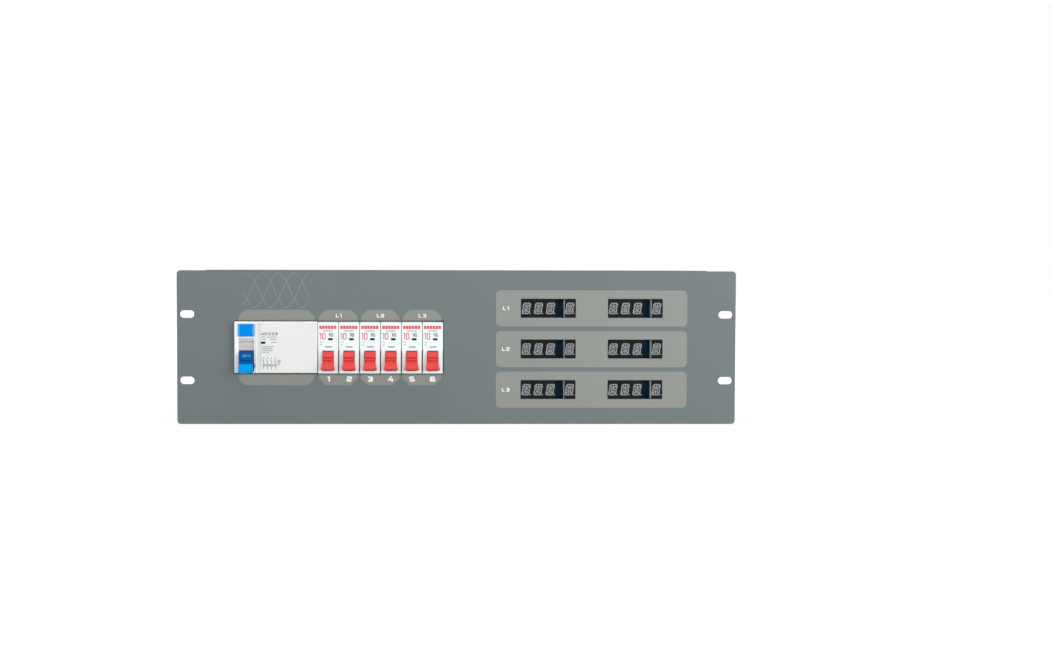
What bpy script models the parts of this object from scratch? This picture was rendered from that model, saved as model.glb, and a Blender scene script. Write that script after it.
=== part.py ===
"""Rack power distribution box: three height units, with a residual current breaker, six circuit
breakers and a volt and ampere meter for each of three phases.

Metres, +Z up, the front faces -Y. The origin is the middle of the case's underside.
"""

import math

import bmesh
import bpy
from mathutils import Matrix, Vector

# Front panel: a 19-inch rack panel of three height units
PANEL_WIDTH = 0.4826
PANEL_HEIGHT = 0.1325
PANEL_THICKNESS = 0.0025
PANEL_CORNER = 0.0032
RACK_SLOT_INSET = 0.00875
RACK_SLOT_SPACING_Z = 0.05715
RACK_SLOT_LENGTH = 0.0124
RACK_SLOT_HEIGHT = 0.0065
RACK_EAR_WIDTH = 0.0248

# Case behind the panel, between the ears and just higher than the panel
CASE_TOP_RISE = 0.0004
CASE_DEPTH = 0.250
SHEET = 0.0012
REAR_SHEET = 0.0015
CASE_FLANGE = 0.012
SEAT_GAP = 0.0003

# Breakers on a 35 mm rail
MODULE = 0.018
RCCB_MODULES = 4
BREAKER_COUNT = 6
BREAKERS_INSET = 0.0243
MODULE_GAP = 0.0004
NOSE_HEIGHT = 0.0445
NOSE_DEPTH = 0.016
NOSE_CORNER = 0.0010
BREAKER_PROUD = 0.005
BREAKER_HEIGHT = 0.084
BREAKER_DEPTH = 0.060
CUTOUT_MARGIN = 0.001
TERMINAL_DEPTH_Y = 0.040
TERMINAL_WIDTH = 0.0086
TERMINAL_HOLE_DEPTH = 0.012
TERMINAL_SCREW_RADIUS = 0.0028
TERMINAL_SCREW_INSET = 0.009
TERMINAL_SCREW_DEPTH = 0.006

# Rail and its two brackets
RAIL_HEIGHT = 0.035
RAIL_BASE_HEIGHT = 0.027
RAIL_DEPTH = 0.0075
RAIL_SHEET = 0.001
RAIL_OVERHANG = 0.018
HOOK_DEPTH = 0.004
HOOK_SLOT = 0.0016
HOOK_LIP = 0.003
HOOK_WIDTH = 0.0062
BRACKET_SHEET = 0.002
BRACKET_WIDTH = 0.015
BRACKET_FOOT = 0.025

# Breaker toggle: a drum on the pivot and a paddle that widens to its tip
TOGGLE_PIVOT_DROP = 0.0113
TOGGLE_PIVOT_DEPTH = 0.0039
TOGGLE_DRUM_RADIUS = 0.0089
TOGGLE_DRUM_WIDTH = 0.0092
TOGGLE_TIP_WIDTH = 0.0128
TOGGLE_REACH = 0.0114
TOGGLE_TIP_DROP = 0.0075
TOGGLE_CLEARANCE = 0.0003
PADDLE_BEVEL = 0.0004
PADDLE_NOSE_HEIGHT = 0.0016
PADDLE_NOSE_LEAN = 0.0008
PADDLE_ROOT_DEPTH = 0.0009
PADDLE_TOP_ANGLE = math.radians(3)
PADDLE_BOTTOM_ANGLE = math.radians(52)
TOGGLE_CREASE_ANGLE = math.radians(17)
TOGGLE_CREASE = 0.0007

# RCCB toggle and test button
RCCB_CONTROL_X = 0.0108
RCCB_TOGGLE_PIVOT_DROP = 0.0121
RCCB_TOGGLE_PIVOT_DEPTH = 0.0036
RCCB_DRUM_RADIUS = 0.0092
RCCB_DRUM_WIDTH = 0.0116
RCCB_TIP_WIDTH = 0.0129
RCCB_TOGGLE_REACH = 0.0132
RCCB_TIP_DROP = 0.0093
TEST_BUTTON_WIDTH = 0.0134
TEST_BUTTON_HEIGHT = 0.0104
TEST_BUTTON_TOP = 0.0022
TEST_BUTTON_PROUD = 0.0016
TEST_BUTTON_LENGTH = 0.0110
TEST_BUTTON_TRAVEL = 0.0015
RCCB_RECESS_TOP = 0.0140
RCCB_RECESS_HEIGHT = 0.0106
RCCB_RECESS_DEPTH = 0.0012
RCCB_RIDGE_LEFT = 0.0172
RCCB_RIDGE_WIDTH = 0.0032
RCCB_RIDGE_PROUD = 0.0008

# Meters: three rows, each with a volt window and an ampere window
METER_DROP = 0.00125
METER_PITCH = 0.0352
METER_ROWS = 3
AMP_WINDOW_INSET = 0.0624
WINDOW_PITCH_X = 0.0754
WINDOW_WIDTH = 0.0474
WINDOW_HEIGHT = 0.0161
DIGITS_WIDTH = 0.0297
UNIT_DIGIT_WIDTH = 0.0096
DIGIT_BLOCK_DEPTH = 0.010
DIGIT_BLOCK_RECESS = 0.0006
BOARD_SHEET = 0.0016
BOARD_MARGIN_X = 0.010
BOARD_HEIGHT = 0.030
BOARD_STUD_RADIUS = 0.00275
BOARD_HOLE_RADIUS = 0.0016
BOARD_STUD_INSET = 0.004

# Wires
FEED_WIRE_RADIUS = 0.0026
LINK_WIRE_RADIUS = 0.0026
OUTLET_WIRE_RADIUS = 0.0020
OUTLET_CORD_RADIUS = 0.0040
TRUNK_RADIUS = 0.0060
TRUNK_OFF_CENTRE = 0.0007
TRUNK_BEHIND_BRACKET = 0.0124
TRUNK_CLEARANCE = 0.002
SPACER_THICKNESS = 0.004
FEED_LANE_Z = 0.060
LANE_SPACING_Y = 0.0105
LOW_LANE_SHARE = 0.25
MIDDLE_LANE_SHARE = 0.435
NEUTRAL_LANE_SHARE = 0.53
HIGH_LANE_SHARE = 0.61

# Link bars, neutral bar, earth bar
LINK_HEIGHT = 0.005
LINK_DEPTH = 0.005
LINK_OVERHANG = 0.004
LINK_PRONG_WIDTH = 0.004
LINK_PRONG_DEPTH = 0.0015
LINK_PRONG_LENGTH = 0.009
BAR_LENGTH = 0.060
BAR_SIDE = 0.008
BAR_CENTRE_X = -0.055
BAR_FOOT_WIDTH = 0.006
BAR_HOLE_RADIUS = 0.0017
BAR_HOLES = 6
BAR_HOLE_SPACING = 0.0072
NEUTRAL_BAR_Y = 0.035
NEUTRAL_BAR_Z = 0.018
EARTH_BAR_Y = 0.062
EARTH_BAR_Z = 0.012

# Current transformers on the phase wires
TRANSFORMER_RADIUS = 0.0080
TRANSFORMER_LENGTH = 0.009
TRANSFORMER_Y = 0.022

# Mains inlet, five poles, in the rear panel
INLET_INSET = 0.0665
INLET_FLANGE = 0.086
INLET_FLANGE_THICKNESS = 0.006
INLET_CORNER = 0.008
INLET_SHROUD_RADIUS = 0.034
INLET_BORE_RADIUS = 0.0305
INLET_SHROUD_LENGTH = 0.046
INLET_BARREL_RADIUS = 0.033
INLET_BARREL_LENGTH = 0.034
INLET_INSERT_THICKNESS = 0.014
INLET_KEYWAY_WIDTH = 0.007
INLET_KEYWAY_DEPTH = 0.002
PIN_CIRCLE_RADIUS = 0.0125
PIN_COUNT = 5
PIN_RADIUS = 0.003
EARTH_PIN_RADIUS = 0.004
PIN_LENGTH = 0.034
PIN_TERMINAL_RADIUS = 0.0045
PIN_TERMINAL_LENGTH = 0.016

# Outlets in the rear panel: two rows of three
OUTLET_COLUMNS = 3
OUTLET_ROWS = 2
OUTLETS_INSET = 0.1325
OUTLET_PITCH_X = 0.062
OUTLET_PITCH_Z = 0.058
OUTLET_FLANGE = 0.050
OUTLET_FLANGE_THICKNESS = 0.0035
OUTLET_CORNER = 0.006
OUTLET_BARREL_RADIUS = 0.0212
OUTLET_WELL_RADIUS = 0.0195
OUTLET_WELL_DEPTH = 0.0175
OUTLET_BARREL_LENGTH = 0.026
OUTLET_CONTACT_SPACING = 0.019
OUTLET_CONTACT_RADIUS = 0.0026
OUTLET_CONTACT_DEPTH = 0.008
OUTLET_RIB_WIDTH = 0.005
OUTLET_RIB_PROUD = 0.0022
EARTH_CLIP_WIDTH = 0.006
EARTH_CLIP_PROUD = 0.0016
REAR_HOLE_MARGIN = 0.0003

# Earth stud on the rear panel
EARTH_STUD_X = -0.062
EARTH_STUD_Z = 0.028
STUD_RADIUS = 0.003
STUD_LENGTH = 0.016
STUD_HEAD_RADIUS = 0.0055
STUD_HEAD_HEIGHT = 0.004
WASHER_RADIUS = 0.0065
WASHER_THICKNESS = 0.0012

# Places that follow from the sizes above
RACK_SLOT_X = PANEL_WIDTH / 2 - RACK_SLOT_INSET
CASE_WIDTH = PANEL_WIDTH - 2 * RACK_EAR_WIDTH
CASE_HEIGHT = PANEL_HEIGHT + CASE_TOP_RISE
CASE_SIDE_X = CASE_WIDTH / 2
RACK_PLANE_Y = -CASE_DEPTH / 2
PANEL_FRONT_Y = RACK_PLANE_Y - PANEL_THICKNESS
CASE_BACK_Y = CASE_DEPTH / 2
REAR_INNER_Y = CASE_BACK_Y - REAR_SHEET
TRAY_FRONT_Y = RACK_PLANE_Y + SEAT_GAP
TRAY_LENGTH = REAR_INNER_Y - SEAT_GAP - TRAY_FRONT_Y
TRAY_TOP_Z = CASE_HEIGHT - SHEET - SEAT_GAP
FLOOR_Z = SHEET + SEAT_GAP
PANEL_MID_Z = PANEL_HEIGHT / 2
NOSE_FRONT_Y = PANEL_FRONT_Y - BREAKER_PROUD
BREAKER_BACK_Y = NOSE_FRONT_Y + BREAKER_DEPTH
RAIL_FRONT_Y = BREAKER_BACK_Y + SEAT_GAP
TERMINAL_Y = NOSE_FRONT_Y + TERMINAL_DEPTH_Y
BREAKER_TOP_Z = PANEL_MID_Z + BREAKER_HEIGHT / 2
BREAKER_BOTTOM_Z = PANEL_MID_Z - BREAKER_HEIGHT / 2
HEADROOM = CASE_HEIGHT - SHEET - BREAKER_TOP_Z
BRACKET_FRONT_Y = RAIL_FRONT_Y + RAIL_DEPTH + SEAT_GAP
BREAKERS_LEFT_X = BREAKERS_INSET - CASE_SIDE_X
RCCB_WIDTH = RCCB_MODULES * MODULE
RCCB_MID_X = BREAKERS_LEFT_X + RCCB_WIDTH / 2
BREAKERS_RIGHT_X = BREAKERS_LEFT_X + RCCB_WIDTH + BREAKER_COUNT * MODULE
BOARD_FRONT_Y = PANEL_FRONT_Y + DIGIT_BLOCK_RECESS + DIGIT_BLOCK_DEPTH + SEAT_GAP
BREAKER_X = [BREAKERS_LEFT_X + RCCB_WIDTH + MODULE * (number + 0.5) for number in range(BREAKER_COUNT)]
RCCB_TERMINAL_X = [BREAKERS_LEFT_X + MODULE * (pole + 0.5) for pole in range(RCCB_MODULES)]
METER_Z = [PANEL_MID_Z - METER_DROP + METER_PITCH * (1 - row) for row in range(METER_ROWS)]
AMP_WINDOW_X = CASE_SIDE_X - AMP_WINDOW_INSET
WINDOW_X = {"volt": AMP_WINDOW_X - WINDOW_PITCH_X, "amp": AMP_WINDOW_X}
LINK_X = [(BREAKER_X[2 * pair] + BREAKER_X[2 * pair + 1]) / 2 for pair in range(BREAKER_COUNT // 2)]
LINK_MID_Z = BREAKER_TOP_Z + SEAT_GAP + LINK_HEIGHT / 2
INLET_X = INLET_INSET - CASE_SIDE_X
INLET_Z = PANEL_MID_Z
INLET_FACE_Y = CASE_BACK_Y + SEAT_GAP + INLET_FLANGE_THICKNESS
INLET_INSERT_Y = CASE_BACK_Y - INLET_INSERT_THICKNESS / 2
OUTLET_FACE_Y = CASE_BACK_Y + SEAT_GAP + OUTLET_FLANGE_THICKNESS
OUTLET_BACK_Y = CASE_BACK_Y - OUTLET_BARREL_LENGTH
OUTLET_MID_X = CASE_SIDE_X - OUTLETS_INSET
OUTLET_X = [OUTLET_MID_X + OUTLET_PITCH_X * (column - 1) for column in range(OUTLET_COLUMNS)]
OUTLET_Z = [PANEL_MID_Z + OUTLET_PITCH_Z * (0.5 - row) for row in range(OUTLET_ROWS)]
PHASES = ("l1", "l2", "l3")

# How a flat outline, drawn in its own XY plane, stands in the room
ON_FRONT = Matrix.Rotation(math.radians(90), 4, "X")
ON_SIDE = Matrix(((0, 0, 1, 0), (1, 0, 0, 0), (0, 1, 0, 0), (0, 0, 0, 1)))
ALONG_X = Matrix.Rotation(math.radians(90), 4, "Y")
ALONG_Y = Matrix.Rotation(math.radians(-90), 4, "X")
FINE_ROUND = 32
MEDIUM_ROUND = 24
COARSE_ROUND = 12
SMALL_ROUND = 8
HEXAGON = 6
HALF_SMALL_STEP = Matrix.Rotation(math.pi / SMALL_ROUND, 4, "Z")
CORNER_STEPS = 3
ROUTE_STEPS = 2
SMOOTH_ANGLE = math.radians(35)
WELD = 0.000001


def clear_scene():
    """Remove what a new Blender file starts with."""
    for thing in list(bpy.data.objects):
        bpy.data.objects.remove(thing, do_unlink=True)


def new_collection(name):
    """Return a new collection in the scene."""
    collection = bpy.data.collections.new(name)
    bpy.context.scene.collection.children.link(collection)
    return collection


clear_scene()
PARTS = new_collection("power_distribution_box")
CUTTERS = new_collection("cutters")


def new_material(name, colour, roughness, metallic=0.0):
    """Return a Principled material."""
    material = bpy.data.materials.new(name)
    material.use_nodes = True
    shader = material.node_tree.nodes["Principled BSDF"]
    shader.inputs["Base Color"].default_value = (*colour, 1.0)
    shader.inputs["Roughness"].default_value = roughness
    shader.inputs["Metallic"].default_value = metallic
    return material


def add_part(name, mesh, material, location=(0, 0, 0)):
    """Put a mesh in the model as a named piece, with its origin at the given place."""
    mesh.name = name
    mesh.materials.clear()
    mesh.materials.append(material)
    mesh.shade_smooth()
    mesh.set_sharp_from_angle(angle=SMOOTH_ANGLE)
    part = bpy.data.objects.new(name, mesh)
    part.location = location
    PARTS.objects.link(part)
    return part


def add_copy(name, original, location):
    """Put another piece in the model that has the same mesh."""
    part = bpy.data.objects.new(name, original.data)
    part.location = location
    PARTS.objects.link(part)
    return part


def read_mesh(thing):
    """Return the mesh that an object has with its modifiers, and remove the object."""
    bpy.context.view_layer.update()
    depsgraph = bpy.context.evaluated_depsgraph_get()
    mesh = bpy.data.meshes.new_from_object(thing.evaluated_get(depsgraph))
    bpy.data.objects.remove(thing, do_unlink=True)
    return mesh


def as_mesh(model):
    """Turn a bmesh into a mesh."""
    mesh = bpy.data.meshes.new("shape")
    model.to_mesh(mesh)
    model.free()
    return mesh


def welded(mesh):
    """Join the loose seams of a closed shape, and turn its faces out."""
    model = bmesh.new()
    model.from_mesh(mesh)
    bmesh.ops.remove_doubles(model, verts=model.verts, dist=WELD)
    bmesh.ops.recalc_face_normals(model, faces=model.faces)
    model.to_mesh(mesh)
    model.free()
    return mesh


def placed(mesh, matrix):
    """Move or turn a mesh."""
    mesh.transform(matrix)
    return mesh


def moved(mesh, x, y, z):
    """Shift a mesh."""
    return placed(mesh, Matrix.Translation((x, y, z)))


def box(width, depth, height):
    """Return a box round the origin."""
    model = bmesh.new()
    bmesh.ops.create_cube(model, size=1.0)
    bmesh.ops.scale(model, vec=(width, depth, height), verts=model.verts)
    return as_mesh(model)


def cylinder(radius, length, segments=COARSE_ROUND, tip_radius=None):
    """Return a cylinder, or a cone, round the origin and along Z."""
    model = bmesh.new()
    bmesh.ops.create_cone(
        model,
        cap_ends=True,
        segments=segments,
        radius1=radius,
        radius2=radius if tip_radius is None else tip_radius,
        depth=length,
    )
    return as_mesh(model)


def arc(centre, radius, start, end, steps):
    """Return points along an arc, its two ends included."""
    angles = [start + (end - start) * step / steps for step in range(steps + 1)]
    return [(centre[0] + radius * math.cos(angle), centre[1] + radius * math.sin(angle)) for angle in angles]


def circle(centre, radius, segments=FINE_ROUND):
    """Return the outline of a circle."""
    return arc(centre, radius, 0, math.tau, segments)[:-1]


def rectangle(centre, width, height, corner=0.0):
    """Return the outline of a rectangle, with round corners where a radius is given."""
    x, y = centre
    right = width / 2 - corner
    top = height / 2 - corner
    if corner == 0:
        return [(x + right, y + top), (x - right, y + top), (x - right, y - top), (x + right, y - top)]
    middles = [(x + right, y + top), (x - right, y + top), (x - right, y - top), (x + right, y - top)]
    outline = []
    for quarter, middle in enumerate(middles):
        start = quarter * math.pi / 2
        outline += arc(middle, corner, start, start + math.pi / 2, CORNER_STEPS)
    return outline


def obround(centre, length, height):
    """Return the outline of a slot with round ends."""
    x, y = centre
    reach = (length - height) / 2
    quarter = math.pi / 2
    right = arc((x + reach, y), height / 2, -quarter, quarter, 2 * CORNER_STEPS)
    left = arc((x - reach, y), height / 2, quarter, 3 * quarter, 2 * CORNER_STEPS)
    return right + left


def extruded(outlines, thickness, stand=ON_FRONT):
    """Return a plate of the first outline with the other outlines as holes, centred on its thickness."""
    curve = bpy.data.curves.new("outline", "CURVE")
    curve.dimensions = "2D"
    curve.fill_mode = "BOTH"
    curve.extrude = thickness / 2
    for outline in outlines:
        spline = curve.splines.new("POLY")
        spline.points.add(len(outline) - 1)
        for point, (x, y) in zip(spline.points, outline):
            point.co = (x, y, 0, 1)
        spline.use_cyclic_u = True
    holder = bpy.data.objects.new("outline", curve)
    CUTTERS.objects.link(holder)
    mesh = welded(read_mesh(holder))
    bpy.data.curves.remove(curve)
    return placed(mesh, stand)


def with_booleans(base, tools, operation):
    """Return a mesh with each tool cut out of it (DIFFERENCE) or joined to it (UNION)."""
    shape = bpy.data.objects.new("shape", base)
    CUTTERS.objects.link(shape)
    holders = []
    for mesh in tools:
        holder = bpy.data.objects.new("cutter", mesh)
        holder.hide_render = True
        holder.display_type = "WIRE"
        CUTTERS.objects.link(holder)
        holders.append(holder)
        modifier = shape.modifiers.new("cut or join", "BOOLEAN")
        modifier.operation = operation
        modifier.solver = "EXACT"
        modifier.object = holder
    result = read_mesh(shape)
    for holder in holders:
        bpy.data.objects.remove(holder, do_unlink=True)
    return result


def cut(base, tools):
    """Return a mesh with the tools cut out of it."""
    return with_booleans(base, tools, "DIFFERENCE")


def joined(base, tools):
    """Return a mesh with the tools joined to it."""
    return with_booleans(base, tools, "UNION")


def bevelled(mesh, width, segments=2):
    """Return a mesh with its sharp edges rounded."""
    shape = bpy.data.objects.new("shape", mesh)
    CUTTERS.objects.link(shape)
    modifier = shape.modifiers.new("round edges", "BEVEL")
    modifier.width = width
    modifier.segments = segments
    modifier.limit_method = "ANGLE"
    return read_mesh(shape)


def folded_sheet(profile, length, thickness):
    """Return a sheet folded along a profile in XZ and drawn along +Y, with its outer face on the profile."""
    model = bmesh.new()
    corners = [model.verts.new((x, 0, z)) for x, z in profile]
    folds = [model.edges.new(pair) for pair in zip(corners, corners[1:])]
    drawn = bmesh.ops.extrude_edge_only(model, edges=folds)
    ends = [item for item in drawn["geom"] if isinstance(item, bmesh.types.BMVert)]
    bmesh.ops.translate(model, verts=ends, vec=(0, length, 0))
    shape = bpy.data.objects.new("sheet", as_mesh(model))
    CUTTERS.objects.link(shape)
    modifier = shape.modifiers.new("thickness", "SOLIDIFY")
    modifier.thickness = thickness
    modifier.offset = -1.0
    modifier.use_even_offset = True
    return welded(read_mesh(shape))


def turned_ring(outer_radius, inner_radius, length, segments=FINE_ROUND):
    """Return a plain ring round Z, turned from its section."""
    section = [
        (outer_radius, length / 2),
        (outer_radius, -length / 2),
        (inner_radius, -length / 2),
        (inner_radius, length / 2),
    ]
    model = bmesh.new()
    corners = [model.verts.new((radius, 0, height)) for radius, height in section]
    for corner, following in zip(corners, corners[1:] + corners[:1]):
        model.edges.new((corner, following))
    shape = bpy.data.objects.new("ring", as_mesh(model))
    CUTTERS.objects.link(shape)
    modifier = shape.modifiers.new("turn", "SCREW")
    modifier.steps = segments
    modifier.render_steps = segments
    modifier.use_merge_vertices = True
    modifier.merge_threshold = 0.00001
    return welded(read_mesh(shape))


def smooth_route(route):
    """Return points on one smooth curve through the points of a route, which leave its ends straight."""
    corners = [Vector(point) for point in route]
    padded = [corners[0] * 2 - corners[1]] + corners + [corners[-1] * 2 - corners[-2]]
    points = []
    for before, start, end, after in zip(padded, padded[1:], padded[2:], padded[3:]):
        first = math.sqrt((start - before).length)
        second = math.sqrt((end - start).length)
        third = math.sqrt((after - end).length)
        leave = (start - before) / first - (end - before) / (first + second) + (end - start) / second
        arrive = (end - start) / second - (after - start) / (second + third) + (after - end) / third
        for step in range(ROUTE_STEPS):
            t = step / ROUTE_STEPS
            blend = 3 * t**2 - 2 * t**3
            pull = (t - 2 * t**2 + t**3) * leave + (t**3 - t**2) * arrive
            points.append(start.lerp(end, blend) + second * pull)
    return points + [corners[-1]]


def tube(route, radius):
    """Return a round wire along a route."""
    points = smooth_route(route)
    curve = bpy.data.curves.new("wire", "CURVE")
    curve.dimensions = "3D"
    curve.bevel_depth = radius
    curve.bevel_resolution = 2
    curve.use_fill_caps = True
    spline = curve.splines.new("POLY")
    spline.points.add(len(points) - 1)
    for place, point in zip(spline.points, points):
        place.co = (*point, 1)
    holder = bpy.data.objects.new("wire", curve)
    CUTTERS.objects.link(holder)
    mesh = welded(read_mesh(holder))
    bpy.data.curves.remove(curve)
    return mesh


# Materials

PANEL_PAINT = new_material("panel_paint", (0.195, 0.225, 0.227), 0.55)
CASE_PAINT = new_material("case_paint", (0.16, 0.185, 0.19), 0.55)
ZINC = new_material("zinc", (0.62, 0.63, 0.64), 0.4, 1.0)
BRASS = new_material("brass", (0.72, 0.55, 0.27), 0.35, 1.0)
COPPER = new_material("copper", (0.72, 0.40, 0.26), 0.35, 1.0)
RCCB_PLASTIC = new_material("rccb_plastic", (0.80, 0.80, 0.78), 0.45)
BREAKER_PLASTIC = new_material("breaker_plastic", (0.87, 0.90, 0.92), 0.4)
RED_PLASTIC = new_material("red_plastic", (0.80, 0.06, 0.05), 0.35)
BLUE_PLASTIC = new_material("blue_plastic", (0.01, 0.26, 0.80), 0.35)
DIGIT_PLASTIC = new_material("digit_plastic", (0.02, 0.022, 0.022), 0.4)
BOARD_LACQUER = new_material("board_lacquer", (0.006, 0.02, 0.06), 0.4)
SOCKET_PLASTIC = new_material("socket_plastic", (0.02, 0.03, 0.09), 0.45)
INLET_PLASTIC = new_material("inlet_plastic", (0.62, 0.02, 0.02), 0.4)
INSERT_PLASTIC = new_material("insert_plastic", (0.08, 0.08, 0.09), 0.5)
FERRITE = new_material("ferrite", (0.03, 0.03, 0.035), 0.5)
WIRE_BLACK = new_material("wire_black", (0.02, 0.02, 0.02), 0.5)
WIRE_BLUE = new_material("wire_blue", (0.02, 0.12, 0.45), 0.5)


# Case

def stud_places():
    """Return where a meter board is held, as X and Z from the board's middle."""
    reach_x = board_width() / 2 - BOARD_STUD_INSET
    reach_z = BOARD_HEIGHT / 2 - BOARD_STUD_INSET
    return [(side * reach_x, level * reach_z) for side in (-1, 1) for level in (-1, 1)]


def board_width():
    """Return the width of a meter board, which spans both windows of its row."""
    return WINDOW_X["amp"] - WINDOW_X["volt"] + WINDOW_WIDTH + 2 * BOARD_MARGIN_X


def board_mid_x():
    """Return the middle of a meter board."""
    return (WINDOW_X["amp"] + WINDOW_X["volt"]) / 2


def front_panel():
    """Rack panel with its slots, breaker cut-out and windows, and welded studs for the meter boards."""
    outlines = [rectangle((0, PANEL_MID_Z), PANEL_WIDTH, PANEL_HEIGHT, PANEL_CORNER)]
    for side in (-1, 1):
        for level in (-1, 1):
            centre = (side * RACK_SLOT_X, PANEL_MID_Z + level * RACK_SLOT_SPACING_Z / 2)
            outlines.append(obround(centre, RACK_SLOT_LENGTH, RACK_SLOT_HEIGHT))
    plate = extruded(outlines, PANEL_THICKNESS)
    cutout_mid_x = (BREAKERS_LEFT_X + BREAKERS_RIGHT_X) / 2
    cutout_width = BREAKERS_RIGHT_X - BREAKERS_LEFT_X + 2 * CUTOUT_MARGIN
    cutout = box(cutout_width, 2 * PANEL_THICKNESS, NOSE_HEIGHT + 2 * CUTOUT_MARGIN)
    windows = [moved(cutout, cutout_mid_x, 0, PANEL_MID_Z)]
    for row_z in METER_Z:
        for window_x in WINDOW_X.values():
            windows.append(moved(box(WINDOW_WIDTH, 2 * PANEL_THICKNESS, WINDOW_HEIGHT), window_x, 0, row_z))
    plate = cut(plate, windows)
    stud_end = BOARD_FRONT_Y - SEAT_GAP - RACK_PLANE_Y
    stud_length = stud_end + PANEL_THICKNESS / 2
    studs = []
    for row_z in METER_Z:
        for x, z in stud_places():
            stud = placed(cylinder(BOARD_STUD_RADIUS, stud_length, SMALL_ROUND), ALONG_Y @ HALF_SMALL_STEP)
            studs.append(moved(stud, board_mid_x() + x, stud_length / 2, row_z + z))
    mesh = joined(plate, studs)
    add_part("front_panel", mesh, PANEL_PAINT, (0, RACK_PLANE_Y - PANEL_THICKNESS / 2, 0))


def chassis_tray():
    """Floor and side walls folded from one sheet, with top flanges for the cover and end flanges."""
    side = CASE_SIDE_X
    profile = [
        (-side + CASE_FLANGE, TRAY_TOP_Z),
        (-side, TRAY_TOP_Z),
        (-side, 0),
        (side, 0),
        (side, TRAY_TOP_Z),
        (side - CASE_FLANGE, TRAY_TOP_Z),
    ]
    sheet = folded_sheet(profile, TRAY_LENGTH, SHEET)
    flange_height = TRAY_TOP_Z - 2 * CASE_FLANGE
    flanges = []
    for direction in (-1, 1):
        for end_y in (SHEET / 2, TRAY_LENGTH - SHEET / 2):
            flange = box(CASE_FLANGE, SHEET, flange_height)
            flange_x = direction * (side - SHEET / 2 - CASE_FLANGE / 2)
            flanges.append(moved(flange, flange_x, end_y, TRAY_TOP_Z / 2))
    add_part("chassis_tray", joined(sheet, flanges), CASE_PAINT, (0, TRAY_FRONT_Y, 0))


def top_cover():
    """Flat lid on the tray's top flanges."""
    lid = bevelled(box(CASE_WIDTH, TRAY_LENGTH, SHEET), SHEET / 4, 1)
    place = (0, TRAY_FRONT_Y + TRAY_LENGTH / 2, CASE_HEIGHT - SHEET / 2)
    add_part("top_cover", lid, CASE_PAINT, place)


def rear_panel():
    """Rear plate with the holes for the inlet, the outlets and the earth stud."""
    outlines = [rectangle((0, CASE_HEIGHT / 2), CASE_WIDTH, CASE_HEIGHT)]
    outlines.append(circle((INLET_X, INLET_Z), INLET_BARREL_RADIUS + REAR_HOLE_MARGIN))
    for x in OUTLET_X:
        for z in OUTLET_Z:
            outlines.append(circle((x, z), OUTLET_BARREL_RADIUS + REAR_HOLE_MARGIN, MEDIUM_ROUND))
    outlines.append(circle((EARTH_STUD_X, EARTH_STUD_Z), STUD_RADIUS + REAR_HOLE_MARGIN, COARSE_ROUND))
    plate = extruded(outlines, REAR_SHEET)
    add_part("rear_panel", plate, CASE_PAINT, (0, CASE_BACK_Y - REAR_SHEET / 2, 0))


# Rail and brackets

def across(mesh):
    """Turn a sheet that was drawn along Y so that it runs along X, with its profile in YZ."""
    swap = Matrix(((0, 1, 0, 0), (1, 0, 0, 0), (0, 0, 1, 0), (0, 0, 0, 1)))
    return welded(placed(mesh, swap))


def din_rail():
    """Top-hat rail across the case, its open side to the front."""
    length = BREAKERS_RIGHT_X - BREAKERS_LEFT_X + 2 * RAIL_OVERHANG
    edge = RAIL_HEIGHT / 2
    base = RAIL_BASE_HEIGHT / 2
    depth = RAIL_DEPTH - RAIL_SHEET
    profile = [(0, edge), (0, base), (depth, base), (depth, -base), (0, -base), (0, -edge)]
    hat = across(folded_sheet(profile, length, RAIL_SHEET))
    left_x = BREAKERS_LEFT_X - RAIL_OVERHANG
    add_part("din_rail", hat, ZINC, (left_x, RAIL_FRONT_Y, PANEL_MID_Z))


def din_brackets():
    """Two bent brackets that stand on the floor and hold the rail's ends."""
    height = PANEL_MID_Z + RAIL_BASE_HEIGHT / 2 - FLOOR_Z
    profile = [(0, height), (0, 0), (BRACKET_FOOT, 0)]
    bracket = across(folded_sheet(profile, BRACKET_WIDTH, BRACKET_SHEET))
    left_x = BREAKERS_LEFT_X - RAIL_OVERHANG
    right_x = BREAKERS_RIGHT_X + RAIL_OVERHANG - BRACKET_WIDTH
    left = add_part("din_bracket_left", bracket, ZINC, (left_x, BRACKET_FRONT_Y, FLOOR_Z))
    add_copy("din_bracket_right", left, (right_x, BRACKET_FRONT_Y, FLOOR_Z))


# Breakers

def breaker_outline():
    """Side outline of a rail device, as depth behind its front face and height above its middle."""
    nose = NOSE_HEIGHT / 2
    half = BREAKER_HEIGHT / 2
    rail = RAIL_HEIGHT / 2
    upper = arc((NOSE_CORNER, nose - NOSE_CORNER), NOSE_CORNER, math.pi, math.pi / 2, 3)
    upper += [
        (NOSE_DEPTH, nose),
        (NOSE_DEPTH, half),
        (BREAKER_DEPTH, half),
        (BREAKER_DEPTH, rail + HOOK_WIDTH),
        (BREAKER_DEPTH + HOOK_DEPTH, rail + HOOK_WIDTH),
        (BREAKER_DEPTH + HOOK_DEPTH, rail - HOOK_LIP),
        (BREAKER_DEPTH + HOOK_SLOT, rail - HOOK_LIP),
        (BREAKER_DEPTH + HOOK_SLOT, rail + SEAT_GAP),
        (BREAKER_DEPTH, rail + SEAT_GAP),
    ]
    lower = [(depth, -height) for depth, height in reversed(upper)]
    return upper + lower


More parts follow.
